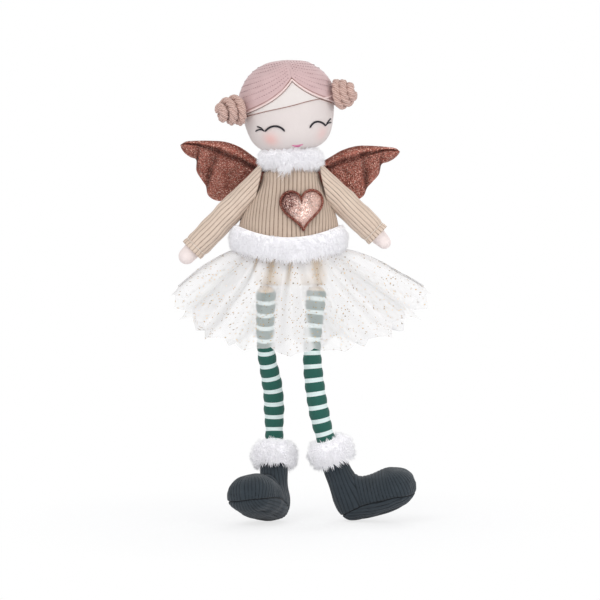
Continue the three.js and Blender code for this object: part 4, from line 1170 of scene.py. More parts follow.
for name, side in SIDES.items():
    line = bun_line(side)
    distance = np.linspace(0, path_length(line), len(line))
    along = unit(np.gradient(line, axis=0))
    axis = HEAD_FRAME[1] @ np.array([math.cos(BUN_FORWARD), -side * math.sin(BUN_FORWARD), 0])
    out_way = unit(np.cross(along, axis))
    up_way = np.cross(out_way, along)
    tips = round_tips(distance, distance[-1], BUN_ROPE)
    strands = []
    for strand in range(ROPE_STRANDS):
        phase = distance / ROPE_LAY * TURN + strand * TURN / ROPE_STRANDS
        offset = out_way * np.cos(phase)[:, None] + up_way * np.sin(phase)[:, None]
        path = line + offset * STRAND_OUT * BUN_ROPE * tips[:, None]
        strands.append(surface(tube(path, STRAND_RADIUS * BUN_ROPE * tips, 10, axis)))
    angle, share = round_grid(33, 12)
    wide = eased([0, 0.08, 0.5, 0.9, 1], [0, BUN_FIRST_LOOP, BUN_FIRST_LOOP - 2, BUN_LAST_LOOP - 1, 0], share)
    core = bun_place(side, mix(-2.0, 0.8 * BUN_LOOPS * BUN_PITCH[side], share), wide, angle)
    strands.append(surface(core))
    piece(f"rope_bun_{name}", strands, ROPE, "head", f"{name}_hair_bun")

# %% [markdown]
# ## Arms and sleeves
# Each arm is a stuffed pink tube with a round hand in a ribbed sleeve. The sleeve starts on the cone round
# the shoulder on which the arm swings, so it meets the pullover at every angle. Where each rib starts is
# found by halving: the distance along the arm at which its point crosses the cone. A disc of the same cloth
# closes the sleeve's head.

# %% Arms
ARM_ROOT = np.array([24.0, 0.0, 111.0])
ARM_RADIUS = 9.4
SLEEVE_RADIUS = 13.4
HAND_LENGTH = 16.0
HAND_REACH = {"right": (-86.0, -88.0), "left": (74.0, -73.0)}  # from the root to the tip, across and up
HAND_TAPER = {"right": 0.06, "left": 0.26}  # share by which the hand narrows towards its tip
SLEEVE_RIBS = 19
CAP_RADIUS = ARM_RADIUS + 1.2
CAP_DEPTH = 6.0  # how far down the sleeve from the shoulder's cone its closing disc lies
ARM_TUCK = 9.0  # how far from the cone the arm itself starts, behind that disc
SLEEVE_TUCK = 2.0  # how far the sleeve's head reaches into the slack of the pullover
SLEEVE_STRETCH = 0.12  # share by which the ribs are flattened on the sleeve
CUFF_TUCK = 9.0  # how far the cuff is folded in
CUFF_GAP = 1.0  # between the folded cuff and the arm
CUFF_SEAM = 6.0  # from the cuff's edge to its row of stitches
CUFF_STITCH = 1.7
CUFF_THREAD = 0.38
CONE_SEARCH = (-25.0, 70.0)  # distances along the arm between which it crosses the shoulder's cone
SHOULDER_HALF = BODY_HALF_WIDTHS[2] + SHOULDER_FIT
CONE_FLARE = (HEM_HALF_WIDTH - SHOULDER_HALF) / (SHOULDER - HEM_FRONT)
CONE_TIP = SHOULDER_HALF + 0.3 - CONE_FLARE * (ARM_ROOT[2] - SHOULDER)


def limb_ring(root, along, distance, angle, radius):
    """Points round a straight limb: distance along it, angle round it and radius."""
    side = unit(np.cross([0, 1, 0], along))
    front = np.cross(along, side)
    return (root + distance[..., None] * along
            + radius[..., None] * (side * np.cos(angle)[..., None] + front * np.sin(angle)[..., None]))


def cone_start(side, root, along, angle, radius_at):
    """How far along the limb each rib crosses the shoulder's cone, by halving the stretch that holds it."""
    low, high = [np.full(angle.shape, end) for end in CONE_SEARCH]
    for _ in range(HALVINGS):
        middle = (low + high) / 2
        spot = limb_ring(root, along, middle, angle, radius_at(middle))
        gap = side * spot[..., 0] - CONE_TIP - CONE_FLARE * np.hypot(spot[..., 1], spot[..., 2] - ARM_ROOT[2])
        low, high = np.where(gap < 0, middle, low), np.where(gap < 0, high, middle)
    return high


for name, side in SIDES.items():
    root = ARM_ROOT * [side, 1, 1]
    across, drop = HAND_REACH[name]
    along = unit(np.array([across, 0, drop]))
    length = math.hypot(across, drop)
    cuff = length - HAND_LENGTH

    def arm_radius(distance, inset):
        """The arm's radius: a half wave along it, narrower in the hand, with a round end."""
        swell = ARM_RADIUS * (0.9 + 0.1 * np.sin(np.clip(distance / length, 0, 1) * math.pi)) - inset
        swell = swell * (1 - HAND_TAPER[name] * ease((distance - cuff + 8) / (length - cuff + 8)))
        return swell * quarter_round((length - inset - distance) / swell)

    for label, inset, finish, stands_for, slot in (
            ("arm", 0.0, PINK_CLOTH, f"{name}_arm", "pink_cloth"),
            ("arm_fill", SKIN + FILL_GAP, FIBRE, f"{name}_arm_stuffing", "fibre_fill")):
        angle = np.linspace(0, TURN, 49)
        start = cone_start(side, root, along, angle, lambda d: arm_radius(d, inset)) + ARM_TUCK + inset
        share = np.sin(np.linspace(0, QUARTER, 60))[:, None]
        distance = mix(start, length - inset, share)
        limb = limb_ring(root, along, distance, angle + 0 * distance, arm_radius(distance, inset))
        limb = np.concatenate([disc(limb[:1], 4), limb])
        arm = piece(f"{name}_{label}_cloth", [surface(limb)], finish, f"{name}_arm", stands_for)

    def sleeve_radius(distance):
        """The sleeve's radius: widest past its middle."""
        return SLEEVE_RADIUS * (0.87 + 0.13 * np.sin(np.clip(distance / cuff, 0, 1) * math.pi * 0.8))

    angle = np.linspace(0, TURN, SLEEVE_RIBS * 12 + 1)
    start = cone_start(side, root, along, angle, sleeve_radius) - SLEEVE_TUCK
    share = np.linspace(0, 1, 80)[:, None]
    distance = mix(start, cuff, share)
    round_angle = angle + 0 * distance
    plain = limb_ring(root, along, distance, round_angle, sleeve_radius(distance))
    sway = 0.09 * ripples(plain, 45, 41)
    rib = mix(rib_height(round_angle / TURN * SLEEVE_RIBS + sway), 1, SLEEVE_STRETCH)
    slack = 0.6 * ripples(plain, 24, 42) - 0.9 * np.exp(-((distance - cuff + CUFF_SEAM) / 2.0) ** 2)
    radius = sleeve_radius(distance) - RIB_RELIEF * (1 - rib) + np.minimum(slack, 0.5)
    face = limb_ring(root, along, distance, round_angle, radius)
    tuck = np.linspace(0, CUFF_TUCK, 6)[:, None]
    lining = limb_ring(root, along, cuff - tuck + 0 * angle, angle + 0 * tuck,
                       ARM_RADIUS + CUFF_GAP + 0 * tuck * angle)
    cap_start = cone_start(side, root, along, angle, lambda d: CAP_RADIUS + 0 * d) + CAP_DEPTH
    inward = np.linspace(1, 0, 6)[:, None]
    head_end = limb_ring(root, along, mix(start, cap_start, inward), angle + 0 * inward,
                         CAP_RADIUS + 0 * inward * angle)
    inner = np.concatenate([disc(head_end[:1], 6), head_end])
    marks = np.concatenate([np.ones(inner.shape[:2]), rib, np.ones(lining.shape[:2])])
    sleeve = surface(np.concatenate([inner, face, lining]), rib=marks)
    piece(f"{name}_sleeve_cloth", [sleeve], SLEEVE_RIB, f"{name}_arm", f"{name}_sleeve",
          closed=False)
    ring = np.arange(SLEEVE_RIBS * 2) / (SLEEVE_RIBS * 2) * TURN
    edge = np.full(ring.shape, cuff)
    spot = limb_ring(root, along, edge - CUFF_SEAM, ring, sleeve_radius(edge) - 0.4)
    seam = stitches(spot, np.gradient(spot, axis=0), CUFF_STITCH, CUFF_THREAD)
    piece(f"{name}_cuff_stitches", seam, PALE_THREAD, f"{name}_arm", weld=False)

# %% [markdown]
# ## Fur collar and hem
# The collar is a soft ring round the neck, and the hem a band over the pullover's lower edge. The pile is
# combed down and outwards, so it hangs over the edge below it.

# %% Collar and hem fur
COLLAR_HALF = (33.0, 29.0)  # half its width and depth, with the pile
COLLAR_HEIGHTS = (118.5, 134.0)
COLLAR_SHARES = (0.58, 0.86)  # the skin's size at its edges and its middle, as a share of the collar's
TUFT_TURN = 0.2  # the tuft's angle from the front, to the doll's right
TUFT_SPREAD = 0.2
TUFT_LONGER = 1.7  # how much longer its hairs are
DOWN = np.array([0, 0, -1.0])
PILE = 0.72  # share of a trim's thickness that is skin, with hairs above it
HEM_THICK = 8.0
HEM_SPAN = (-19.0, 3.0)  # from the pullover's edge to the band's two edges


def collar_form(around, share):
    """The collar's skin: an oval ring that bulges between its two edges."""
    grow = mix(*COLLAR_SHARES, half_round(share))
    return oval(COLLAR_HALF[0] * grow, COLLAR_HALF[1] * grow, around, mix(*COLLAR_HEIGHTS, share))


def collar_tuft(around, share):
    """One long tuft hangs from the lower edge, a little to the doll's right of the middle."""
    turn = (around + TUFT_TURN + math.pi) % TURN - math.pi
    return 1 + TUFT_LONGER * np.exp(-(turn / TUFT_SPREAD) ** 2) * (share < 0.4)


def hem_form(around, share):
    """The hem's skin: a band that bulges over the pullover's lower edge."""
    out_by = 1.0 + HEM_THICK * PILE * half_round(share)
    height = hem_height(around) + mix(*HEM_SPAN, share)
    return oval(HEM_HALF_WIDTH + out_by, HEM_HALF_DEPTH + out_by, around, height) + [HEM_LEAN, 0, 0]


fur_ring("collar_fur", "torso", "fur_collar", collar_form, count=5200, length=7.0, seed=51,
         bend=0.2 * DOWN, grain=0.25 * DOWN, clumps=420, tuft=collar_tuft)
fur_ring("hem_fur", "torso", "fur_hem", hem_form, count=9500, length=5.5, seed=52,
         bend=0.35 * DOWN, grain=0.5 * DOWN, clumps=900)

# %% [markdown]
# ## Tulle skirt
# The skirt is net cloth gathered on a band at the waist and cut in panels. A panel is one sheet: a bent line
# from the band down and out to the hem, with folds that deepen on the way. The net is see-through with small
# glitter dots. The front is cut in two halves, one over each leg; the panels over the legs ride on no body.

# %% Tulle finish
DOT_CELL = 0.003  # metres between glitter dots
NET_PITCH = 0.0011  # metres between threads of the net
NET_SCATTER = 0.8  # share of the caught light that net passes on, so its folds don't darken each other
TULLE, tulle_tree, tulle_shader = finish_of("glitter_tulle", roughness=0.75, sheen=0.2)
tulle_place = place_on(tulle_tree, "UV")
net = use(tulle_tree, weave, Pitch=NET_PITCH)
dots = node(tulle_tree, "ShaderNodeTexVoronoi",
            {"Vector": tulle_place, "Scale": 1 / DOT_CELL, "Randomness": 0.85})
dot_tone = node(tulle_tree, "ShaderNodeSeparateXYZ", {0: dots.outputs["Color"]})
dot_size = maths(tulle_tree, "ADD", maths(tulle_tree, "MULTIPLY", dot_tone.outputs[0], 0.1), 0.17)
is_dot = maths(tulle_tree, "LESS_THAN", dots.outputs["Distance"], dot_size)
gold = blend_colours(tulle_tree, dot_tone.outputs[1], "6b5844", "c9a56f")
painted(tulle_tree, tulle_shader, blend_colours(tulle_tree, is_dot, "ecebeb", gold))
thread_cover = maths(tulle_tree, "SUBTRACT", 1.15, maths(tulle_tree, "MULTIPLY", net.outputs["Height"], 0.4))
veil = maths(tulle_tree, "MULTIPLY", thread_cover, mark(tulle_tree, "cover"))
shadow_ray = node(tulle_tree, "ShaderNodeLightPath").outputs["Is Shadow Ray"]
in_light = maths(tulle_tree, "SUBTRACT", 1.0, maths(tulle_tree, "MULTIPLY", shadow_ray, NET_SCATTER))
shown = maths(tulle_tree, "MULTIPLY", maths(tulle_tree, "MAXIMUM", veil, is_dot), in_light)
tulle_tree.links.new(shown, tulle_shader.inputs["Alpha"])

# %% Skirt panels
WAIST = 36.0
SKIRT_REACH = {"right": 118.0, "left": 138.0, "front": 70.0, "back": 56.0}
SKIRT_HEM = {"side": 2.0, "front": -66.0}
SKIRT_BEND = {"side": 46.0, "front": -4.0}  # height at which the skirt turns outwards
SKIRT_EASE = {"side": 1.55, "front": 1.08}  # how much wider than the band it is there
SKIRT_FOLDS = 18
SKIRT_FOLD_DEPTH = 6.0
GATHERS = 60  # fine folds at the band in the whole turn
WAIST_FIT = 3.1
STRIPS = 8.5  # double strips of net in the whole turn
HEM_POINT = 0.07  # share of the length by which the hem's points and notches differ
DENSE = 0.78  # share hidden by two layers of net
SHEER = 0.4  # and by one
SLIT_SLANT = 14  # degrees by which a slit moves to the middle on its way down
GATHER_SLITS = ((-50, 3), (-28, 6), (1.5, 3), (36, 7))  # where the gathers part and how wide, in degrees
PANELS = {  # degrees from the front towards the doll's left, the frame's node, and the leg that pushes it
    "skirt_front_left": (0, 24, "skirt_front", "left"),
    "skirt_left_front_panel": (24, 66, "skirt_left_front", "left"),
    "skirt_left_side_panel": (66, 122, "skirt_left_side", None),
    "skirt_back_panel": (122, 238, "skirt_back", None),
    "skirt_right_side_panel": (238, 294, "skirt_right_side", None),
    "skirt_right_front_panel": (294, 336, "skirt_right_front", "right"),
    "skirt_front_right": (336, 360, "skirt_front", "right"),
}


def skirt_middle(angle, share):
    """The skirt without folds: a quadratic curve from the band, down to a bend and out to the hem."""
    side, front = np.sin(angle), np.cos(angle)
    steep = np.abs(front) ** 0.9
    width, depth = body_half(WAIST)
    top = oval(width + WAIST_FIT, depth + WAIST_FIT, angle, WAIST + 0 * angle)
    bend = top * mix(SKIRT_EASE["side"], SKIRT_EASE["front"], steep)[..., None]
    bend[..., 2] = mix(SKIRT_BEND["side"], SKIRT_BEND["front"], steep)
    hem = np.stack([side * np.where(side < 0, SKIRT_REACH["right"], SKIRT_REACH["left"]),
                    -front * np.where(front > 0, SKIRT_REACH["front"], SKIRT_REACH["back"]),
                    mix(SKIRT_HEM["side"], SKIRT_HEM["front"], steep)], -1)
    t = share[..., None]
    return (1 - t) ** 2 * top + 2 * t * (1 - t) * bend + t ** 2 * hem


def skirt_cover(angle, share):
    """How much the net hides: strips of two layers and of one, and gathers with slits at the band."""
    turn = np.degrees((angle + math.pi) % TURN - math.pi)
    strip = mix(SHEER, DENSE, ease(0.5 + 2.2 * np.cos(np.radians(turn) * STRIPS)))
    slit = 0
    for place, wide in GATHER_SLITS:
        slit = slit + np.exp(-((turn - place + SLIT_SLANT * share * np.sign(place)) / wide) ** 2)
    gathers = mix(0.92, 0.12, np.clip(slit, 0, 1))
    return mix(strip, gathers, np.exp(-(share / 0.42) ** 3))


def skirt_sheet(start, end):
    """A skirt panel: main folds as in the frame, finer gathers near the band, and a pointed hem."""
    columns = int((end - start) * 2.2) + 1
    angle, share = np.meshgrid(np.radians(np.linspace(start, end, columns)), np.linspace(0, 1, 60))
    cover = skirt_cover(angle, share)
    points = 1 - np.abs((angle * STRIPS / TURN * 2 + 0.5) % 1 - 0.5) * 2
    share = share * mix(1 - HEM_POINT, 1 + HEM_POINT / 2, points)
    flat = skirt_middle(angle, share)
    out_way = normals_of(flat)
    main = SKIRT_FOLD_DEPTH * share * np.cos(SKIRT_FOLDS * angle)
    gather = 1.3 * np.sin(GATHERS * angle + 2 * np.sin(7 * angle)) * share * np.exp(-2.2 * share)
    droop = 2.2 * ripples(flat, 40, 61) * share ** 2
    return flat - out_way * (main + gather + droop)[..., None], cover


def blend_skirt(thing):
    """Bakes the panel's place into its mesh; it is not bent to the leg under it."""
    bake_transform(thing)


for name, (start, end, stands_for, leg) in PANELS.items():
    grid, cover = skirt_sheet(start, end)
    panel = piece(name, [surface(grid, cover=cover)], TULLE, None if leg else "torso", stands_for,
                  closed=False)
    if leg:
        blend_skirt(panel)

# %% Waistband
BAND_TALL = 10
BAND_OUT = 2.0  # from the body to the band's outside
BAND_IN = 0.4  # and to its inside
angle, share = round_grid(241, 9)
height = mix(WAIST - BAND_TALL, WAIST, share)
pleat = 0.25 * np.sin(angle * GATHERS)
wide, deep = body_half(height)
band_out = oval(wide + BAND_OUT + pleat, deep + BAND_OUT + pleat, angle, height)
band_in = oval(wide + BAND_IN, deep + BAND_IN, angle, height)
piece("skirt_band", [surface(two_faced(band_out, band_in, shut=True))], BODY_CLOTH, "torso",
      "skirt_waistband")

# %% [markdown]
# ## Striped legs
# The legs are soft tubes in a green stocking with pale bands, and plain beige cloth at the very top. The
# tube follows the leg's hanging line; the UV counts millimetres along it, so the bands keep their width.

# %% Stocking finish
BAND_PITCH = 13.5
BAND_WIDTH = 4.3
BAND_AT = -67.0  # height of the middle of one pale band
CLOTH_TOP_END = -5.0  # height where the stocking starts
STOCKING, stocking_tree, stocking_shader = finish_of("striped_stocking", roughness=0.9, sheen=0.15)
place = place_on(stocking_tree, "UV")
parts = node(stocking_tree, "ShaderNodeSeparateXYZ", {0: place})
count = maths(stocking_tree, "DIVIDE", parts.outputs[1], BAND_PITCH * MM)
within = maths(stocking_tree, "PINGPONG", count, 0.5)
is_band = maths(stocking_tree, "LESS_THAN", within, BAND_WIDTH / BAND_PITCH / 2)
knit = use(stocking_tree, weave, Pitch=0.0007)
green = blend_colours(stocking_tree, knit.outputs["Tone"], "1c4a41", "316b5f")
mint = blend_colours(stocking_tree, knit.outputs["Tone"], "c9dedb", "eff7f6")
stocking = blend_colours(stocking_tree, is_band, green, mint)
leg_colour = blend_colours(stocking_tree, mark(stocking_tree, "plain"), stocking, "d3bfa6")
painted(stocking_tree, stocking_shader, leg_colour)
bumped(stocking_tree, stocking_shader, knit.outputs["Height"], strength=0.3, distance=0.0003)

# %% Legs
LEG_RADIUS = 10.3
BAND_PINCH = 0.4  # how far the cloth draws in at a pale band
LEG_LENGTH = 169.0
LEG_SHARES = np.array([0, 0.34, 0.62, 0.86, 1])  # shares of the length at which the leg's line is given
LEG_SIDES = {"right": [-25, -25, -18, -17, -17], "left": [25, 21, 25, 33, 41]}
LEG_BACKS = {"right": [0, 16, 27, 30.5, 23.5], "left": [0, -2, -3, -1, 1]}
HIP_HEIGHT = -LEG_RADIUS - 0.3
HIP_FORWARD = 12.0
LEG_COLUMNS = 48


def leg_line(name):
    """The leg's middle line: from the top of its ball, through its chosen points, to the ankle."""
    spots = np.stack([np.array(LEG_SIDES[name], float), np.array(LEG_BACKS[name]) - HIP_FORWARD,
                      HIP_HEIGHT - LEG_SHARES * (LEG_LENGTH - LEG_RADIUS)], -1)
    top = spots[0] + unit(spots[0] - spots[1]) * LEG_RADIUS
    return curve_through(np.concatenate([[top], spots]), 260)


def leg_form(line, inset, sides):
    """A stuffed leg: a round top, then a radius that swells and narrows along the leg and at each band."""
    distance = np.linspace(0, path_length(line), len(line))
    swell = LEG_RADIUS * (0.94 + 0.06 * np.cos(distance / distance[-1] * TURN * 1.5)) - inset
    top = quarter_round((distance - inset) / (LEG_RADIUS - inset))
    from_band = distance - np.interp(-BAND_AT, -line[:, 2], distance)
    pinch = BAND_PINCH * np.cos(from_band / BAND_PITCH * TURN) + 0.25 * ripples(line, 22, 71)
    radius = np.minimum(swell - BAND_PINCH, (LEG_RADIUS - inset) * top) - pinch * ease((top - 0.9) / 0.1)
    return tube(line, np.maximum(0, radius), sides), from_band


for name in SIDES:
    line = leg_line(name)
    form, from_band = leg_form(line, 0.0, LEG_COLUMNS)
    around = np.linspace(0, TURN * LEG_RADIUS, LEG_COLUMNS + 1)
    uv = np.stack(np.broadcast_arrays(around, from_band[:, None]), -1)
    plain = (line[:, 2:] > CLOTH_TOP_END).astype(float)
    end = mix(form[-1:], line[-1:, None], np.linspace(0, 1, 4)[1:, None, None])
    end_uv = np.broadcast_to(uv[-1:], (*end.shape[:2], 2))
    skin = surface(np.concatenate([form, end]), np.concatenate([uv, end_uv]),
                   plain=np.concatenate([plain, np.zeros((len(end), 1))]))
    leg = piece(f"{name}_leg_stocking", [skin], STOCKING, f"{name}_leg", f"{name}_leg")
    core = leg_form(line[2:], SKIN + FILL_GAP, 24)[0]
    piece(f"{name}_leg_fill", [surface(np.concatenate([core, pole(core[-1:])]))], FIBRE, f"{name}_leg",
          f"{name}_leg_stuffing")

# %% [markdown]
# ## Boots
# A boot is sewn of ribbed cloth and stuffed. Two lines in its middle plane shape it: one runs down the front
# of the shaft and over the instep to the toe, the other down the back, round the heel and along the sole.
# Rings are hung between matching points of the two lines. The ribs go round the foot like spokes at the toe
# and straight down the shaft, and a seam stands between the two.

# %% Boot form
BOOT_TURN = {"right": -26.0, "left": 80.0}  # degrees that the toe is turned
BOOT_FRAMES = {name: turned_frame(JOINTS[f"{name}_ankle_turn"], BOOT_TURN[name]) for name in SIDES}
BOOT_HEIGHT = 69.0
SHAFT = 13.6
FOOT_LENGTH = 86.0
HEEL_BEHIND = 15.0
# The two lines of a boot, as pairs of back and up in its own frame
BOOT_FRONT = [(-13.2, 1), (-13.2, -12), (-14.2, -22), (-18.5, -28.5), (-28, -31), (-40, -30.4), (-52, -31.4),
              (-62, -35), (-68.6, -42.5), (-70.6, -52)]
BOOT_BACK = [(13.2, 1), (13.2, -14), (13.4, -30), (14.4, -45), (13.2, -57), (7.5, -66), (-3, -69.6),
             (-20, -70.6), (-40, -70.4), (-57, -68), (-67, -61), (-70.6, -52)]
BOOT_HALF_WIDTHS = [13.4, 13.4, 13.6, 14.6, 16.2, 19, 22, 24, 24.4, 22.6, 16.5, 0]
BOOT_RIB = 3.5
BOOT_RELIEF = 0.9
BOOT_COLUMNS = 201
TOE_START = 0.86  # share of the boot's length where the toe starts to round off
TOE_CENTRE = -46.0
TOE_RADIUS = 24.0
FOOT_MIDDLE = -45.0  # height
VAMP_EDGE = -15.0  # where the shaft's cloth meets the foot's
SOLE_SEAM = -63.0  # height of the seam round the sole at its ends
SOLE_ARCH = 9.0  # how much higher the seam is at the side of the foot
FILL_SHARE = 0.82  # size of the filling's rings as a share of the boot's


def rounded(wave):
    """A wave made a little squarer."""
    return np.sign(wave) * np.abs(wave) ** 0.9


def boot_form(rows, columns):
    """Boot rings between the front line and the back line: ovals, a little squarer than round."""
    front = curve_through(np.array(BOOT_FRONT, float), rows)
    back = curve_through(np.array(BOOT_BACK, float), rows)
    level = np.linspace(0, 1, rows)
    wide = np.interp(level, np.linspace(0, 1, len(BOOT_HALF_WIDTHS)), BOOT_HALF_WIDTHS)
    toe = np.clip((level - TOE_START) / (1 - TOE_START), 0, 1)
    wide = wide * np.sqrt(1 - toe ** 2.5)
    angle = np.linspace(0, TURN, columns)
    plane = mix(back[:, None], front[:, None], (0.5 + 0.5 * rounded(np.cos(angle)))[:, None])
    side = wide[:, None] * rounded(np.sin(angle))
    return np.stack([side, plane[..., 0], plane[..., 1]], -1)


def boot_ribs(points):
    """Ribs counted over the boot: down the shaft, from the ridge down the foot and like spokes round the toe,
    and along the sole below its seam. Also how near each point is to a seam."""
    x, y, z = points[..., 0], points[..., 1], points[..., 2]
    spoke = np.arctan2(TOE_CENTRE - y, np.abs(x) + 1e-6)
    foot = np.where(y > TOE_CENTRE, y - TOE_CENTRE, -TOE_RADIUS * spoke)
    shaft = np.arctan2(x, -y) * SHAFT
    sole = np.arctan2(np.abs(x), FOOT_MIDDLE - z) * TOE_RADIUS
    along = np.clip((HEEL_BEHIND - y) / FOOT_LENGTH, 0, 1)
    over_sole = z - SOLE_SEAM - SOLE_ARCH * np.sin(math.pi * along) ** 0.7
    behind_vamp = y - VAMP_EDGE
    rib = rib_height(np.where(over_sole < 0, sole, np.where(behind_vamp > 0, shaft, foot)) / BOOT_RIB)
    seam = np.exp(-(over_sole / 0.7) ** 2) + 0.5 * np.exp(-(behind_vamp / 0.8) ** 2) * (over_sole > 0)
    return rib, np.clip(seam, 0, 1)


for name, place in BOOT_FRAMES.items():
    plain = boot_form(230, BOOT_COLUMNS)
    out_way = normals_of(plain)
    out_way = out_way * np.sign((out_way * (plain - plain.mean(1, keepdims=True))).sum(-1).mean())
    rib, seam = boot_ribs(plain + 0.5 * ripples(plain, 30, 80)[..., None])
    # The sunken seams get the grooves' dark colour too: painted shade in the seam.
    rib = mix(rib, 0.15, seam)
    lift = BOOT_RELIEF * (rib - 1) - 0.7 * seam + 0.6 * ripples(plain, 26, 81)
    upper = plain + out_way * lift[..., None]
    lid = disc(upper[:1], 5)
    marks = np.concatenate([np.ones(lid.shape[:2]), rib])
    boot = piece(f"{name}_boot_cloth", [surface(placed(np.concatenate([lid, upper]), place), rib=marks)],
                 SLATE_RIB, f"{name}_boot", f"{name}_boot_upper")
    core = boot_form(60, 49)[2:-8]
    core = mix(core.mean(1, keepdims=True), core, FILL_SHARE)
    core = np.concatenate([pole(core[:1]), core, pole(core[-1:])])
    piece(f"{name}_boot_fill", [surface(placed(core, place))], FIBRE, f"{name}_boot",
          f"{name}_boot_stuffing")

# %% Soles
HEEL_HALF = 16.0
FOOT_HALF = 24.0
SOLE = 2.9
SOLE_SHARE = 0.62  # the sole is a patch that covers this share of the foot
SOLE_COLUMNS = 241
SOLE_TOP_ROWS = 8


def sole_outline(turn):
    """The sole's outline: a rounded oblong, narrow at the heel and wide at the ball of the foot."""
    share = (1 - np.cos(turn)) / 2
    wide = mix(HEEL_HALF, FOOT_HALF, ease((share - 0.1) / 0.65)) * half_round(share, 3.4)
    return np.stack([np.where(turn < math.pi, -1, 1) * wide, HEEL_BEHIND - share * FOOT_LENGTH], -1)


def sole_form():
    """A soft sole under the foot: a shallow dome below with ribs along the foot, and flat above."""
    turn = np.linspace(0, TURN, SOLE_COLUMNS)
    middle = np.array([0, HEEL_BEHIND - FOOT_LENGTH / 2])
    rows, marks = [], []
    for share in np.concatenate([np.linspace(0.02, 1, SOLE_TOP_ROWS), np.linspace(1, 0.02, 40)[1:]]):
        flat = mix(middle, sole_outline(turn) * SOLE_SHARE + middle * (1 - SOLE_SHARE), share)
        below = len(rows) >= SOLE_TOP_ROWS
        rib = rib_height(flat[:, 0] / BOOT_RIB + 0.5) if below else np.ones(SOLE_COLUMNS)
        drop = SOLE * (1 - share ** 4) + 0.6 * (rib - 1) if below else 0 * rib
        rows.append(np.column_stack([flat, -BOOT_HEIGHT + 0.4 - drop]))
        marks.append(rib)
    return np.stack(rows), np.stack(marks)


points, marks = sole_form()
for name, place in BOOT_FRAMES.items():
    piece(f"{name}_sole_cloth", [surface(placed(points, place), rib=marks)], SLATE_RIB, f"{name}_boot",
          f"{name}_boot_sole")

# %% Boot cuffs of fur
CUFF_LOW = -11.5
CUFF_HIGH = 11.0
CUFF_RADIUS = 21.0
CUFF_PILE = 0.62  # share of the cuff's thickness that is skin
CUFF_LIFT = {"right": -1.0, "left": 5.5}  # the doll's left cuff is pulled up


def cuff_form_at(place, lift):
    """The skin of a boot's fur cuff, as a function of the angle round and the share upwards."""

    def form(around, share):
        """A ring that bulges between its edges and closes on the leg at the top."""
        edge = mix(SHAFT + 0.6, LEG_RADIUS - 0.4, ease((share - 0.7) / 0.3))
        radius = edge + (CUFF_RADIUS - SHAFT) * CUFF_PILE * half_round(share)
        return placed(oval(radius, radius, around, mix(CUFF_LOW, CUFF_HIGH, share) + lift), place)

    return form


for name, seed in (("right", 91), ("left", 92)):
    place = BOOT_FRAMES[name]
    down_way = place[1] @ DOWN
    fur_ring(f"{name}_cuff_fur", f"{name}_boot", f"{name}_boot_fur_cuff",
             cuff_form_at(place, CUFF_LIFT[name]), count=3800, length=6.8, seed=seed,
             bend=down_way * 0.15, grain=down_way * 0.2, clumps=260)

# %% [markdown]
# ## Wings
# Each wing is two panels of copper glitter cloth sewn round their edge and stuffed with wadding. The upper
# edge is one sweep and the lower edge has three lobes. A panel is ruled between matching points of the two
# edges and puffed out between them, with creases that run from the notches, and soft crumples.

# %% Wing panels
WING_SPAN = 105.0
WING_TALL = 61.0
WING_ROOT_TALL = 30.0
WING_DEPTH = 5.9
# The two edges of a wing, as shares of its span and its height
WING_TOP = [(0, 0.49), (0.12, 0.57), (0.26, 0.7), (0.42, 0.89), (0.56, 0.98), (0.7, 1.0), (0.86, 1.0),
            (0.95, 0.985), (1.0, 0.93)]
WING_LOW = [(0, 0), (0.3, -0.005), (0.52, 0), (0.66, 0.012), (0.735, 0.1), (0.755, 0.25), (0.79, 0.34),
            (0.845, 0.5), (0.85, 0.69), (0.9, 0.725), (0.955, 0.79), (0.99, 0.87), (1.0, 0.93)]
WING_SEEN = {-1: (1.0, 1.0, 0.0), 1: (0.955, 0.93, 0.12)}  # width, height and how much narrower it is below
NOTCHES = [0.62, 0.81]  # shares along the lower edge at which the lobes meet
PANEL_INSIDE = 0.72  # how far out a panel's inside lies, as a share of its outside
WADDING_DEEP = 0.5  # the wadding's depth and size as shares of the wing's
WADDING_SIZE = 0.88


def wing_sheet(side, front, rows=70, columns=120):
    """One panel: ruled between the lower and the upper edge, puffed to one side, creased and crumpled."""
    low = curve_through(np.array(WING_LOW) * [WING_SPAN, WING_TALL], columns)
    high = curve_through(np.array(WING_TOP) * [WING_SPAN, WING_TALL], columns)
    share = ((1 - np.cos(np.linspace(0, math.pi, rows))) / 2)[:, None]
    along = np.linspace(0, 1, columns)[None, :]
    flat = mix(low[None], high[None], share[..., None])
    dome = np.sin(math.pi * share) ** 0.55 * np.clip((1 - along) / 0.12, 0, 1) ** 0.5
    dome = dome * np.sqrt(np.clip(along / 0.07, 0, 1))
    roll = 1.5 * np.exp(-((share - 0.9) / 0.045) ** 2) - 1.5 * np.exp(-((share - 0.79) / 0.05) ** 2)
    crease = sum(np.exp(-((along - notch) / 0.035) ** 2) for notch in NOTCHES) * (1 - share) ** 0.8
    solid = np.stack([flat[..., 0], 0 * flat[..., 0], flat[..., 1]], -1)
    crumple = 0.75 * ripples(solid, 30, 101 + front) + 0.45 * ripples(solid, 12, 103 + front)
    puff = 0.35 + dome * (WING_DEPTH * (1 - 0.45 * crease) + np.minimum(crumple, 0.6) + roll - 1.2)
    face = -puff if front else puff
    wide, tall, narrow = WING_SEEN[side]
    wide = wide * (1 - narrow * np.clip(1 - flat[..., 1] / WING_TALL, 0, 1))
    up = WING_TALL - (WING_TALL - flat[..., 1]) * tall
    # Painted highlight on the top roll and lower edge, painted shade under the roll, in creases and at the
    # root
    lit = 0.5 * roll + 0.5 * np.exp(-(share / 0.06) ** 2)
    shade = lit - 0.9 * crease - 0.5 * np.exp(-(along / 0.25) ** 2)
    return np.stack([side * wide * flat[..., 0], face, up - WING_ROOT_TALL / 2], -1), shade + 0 * puff


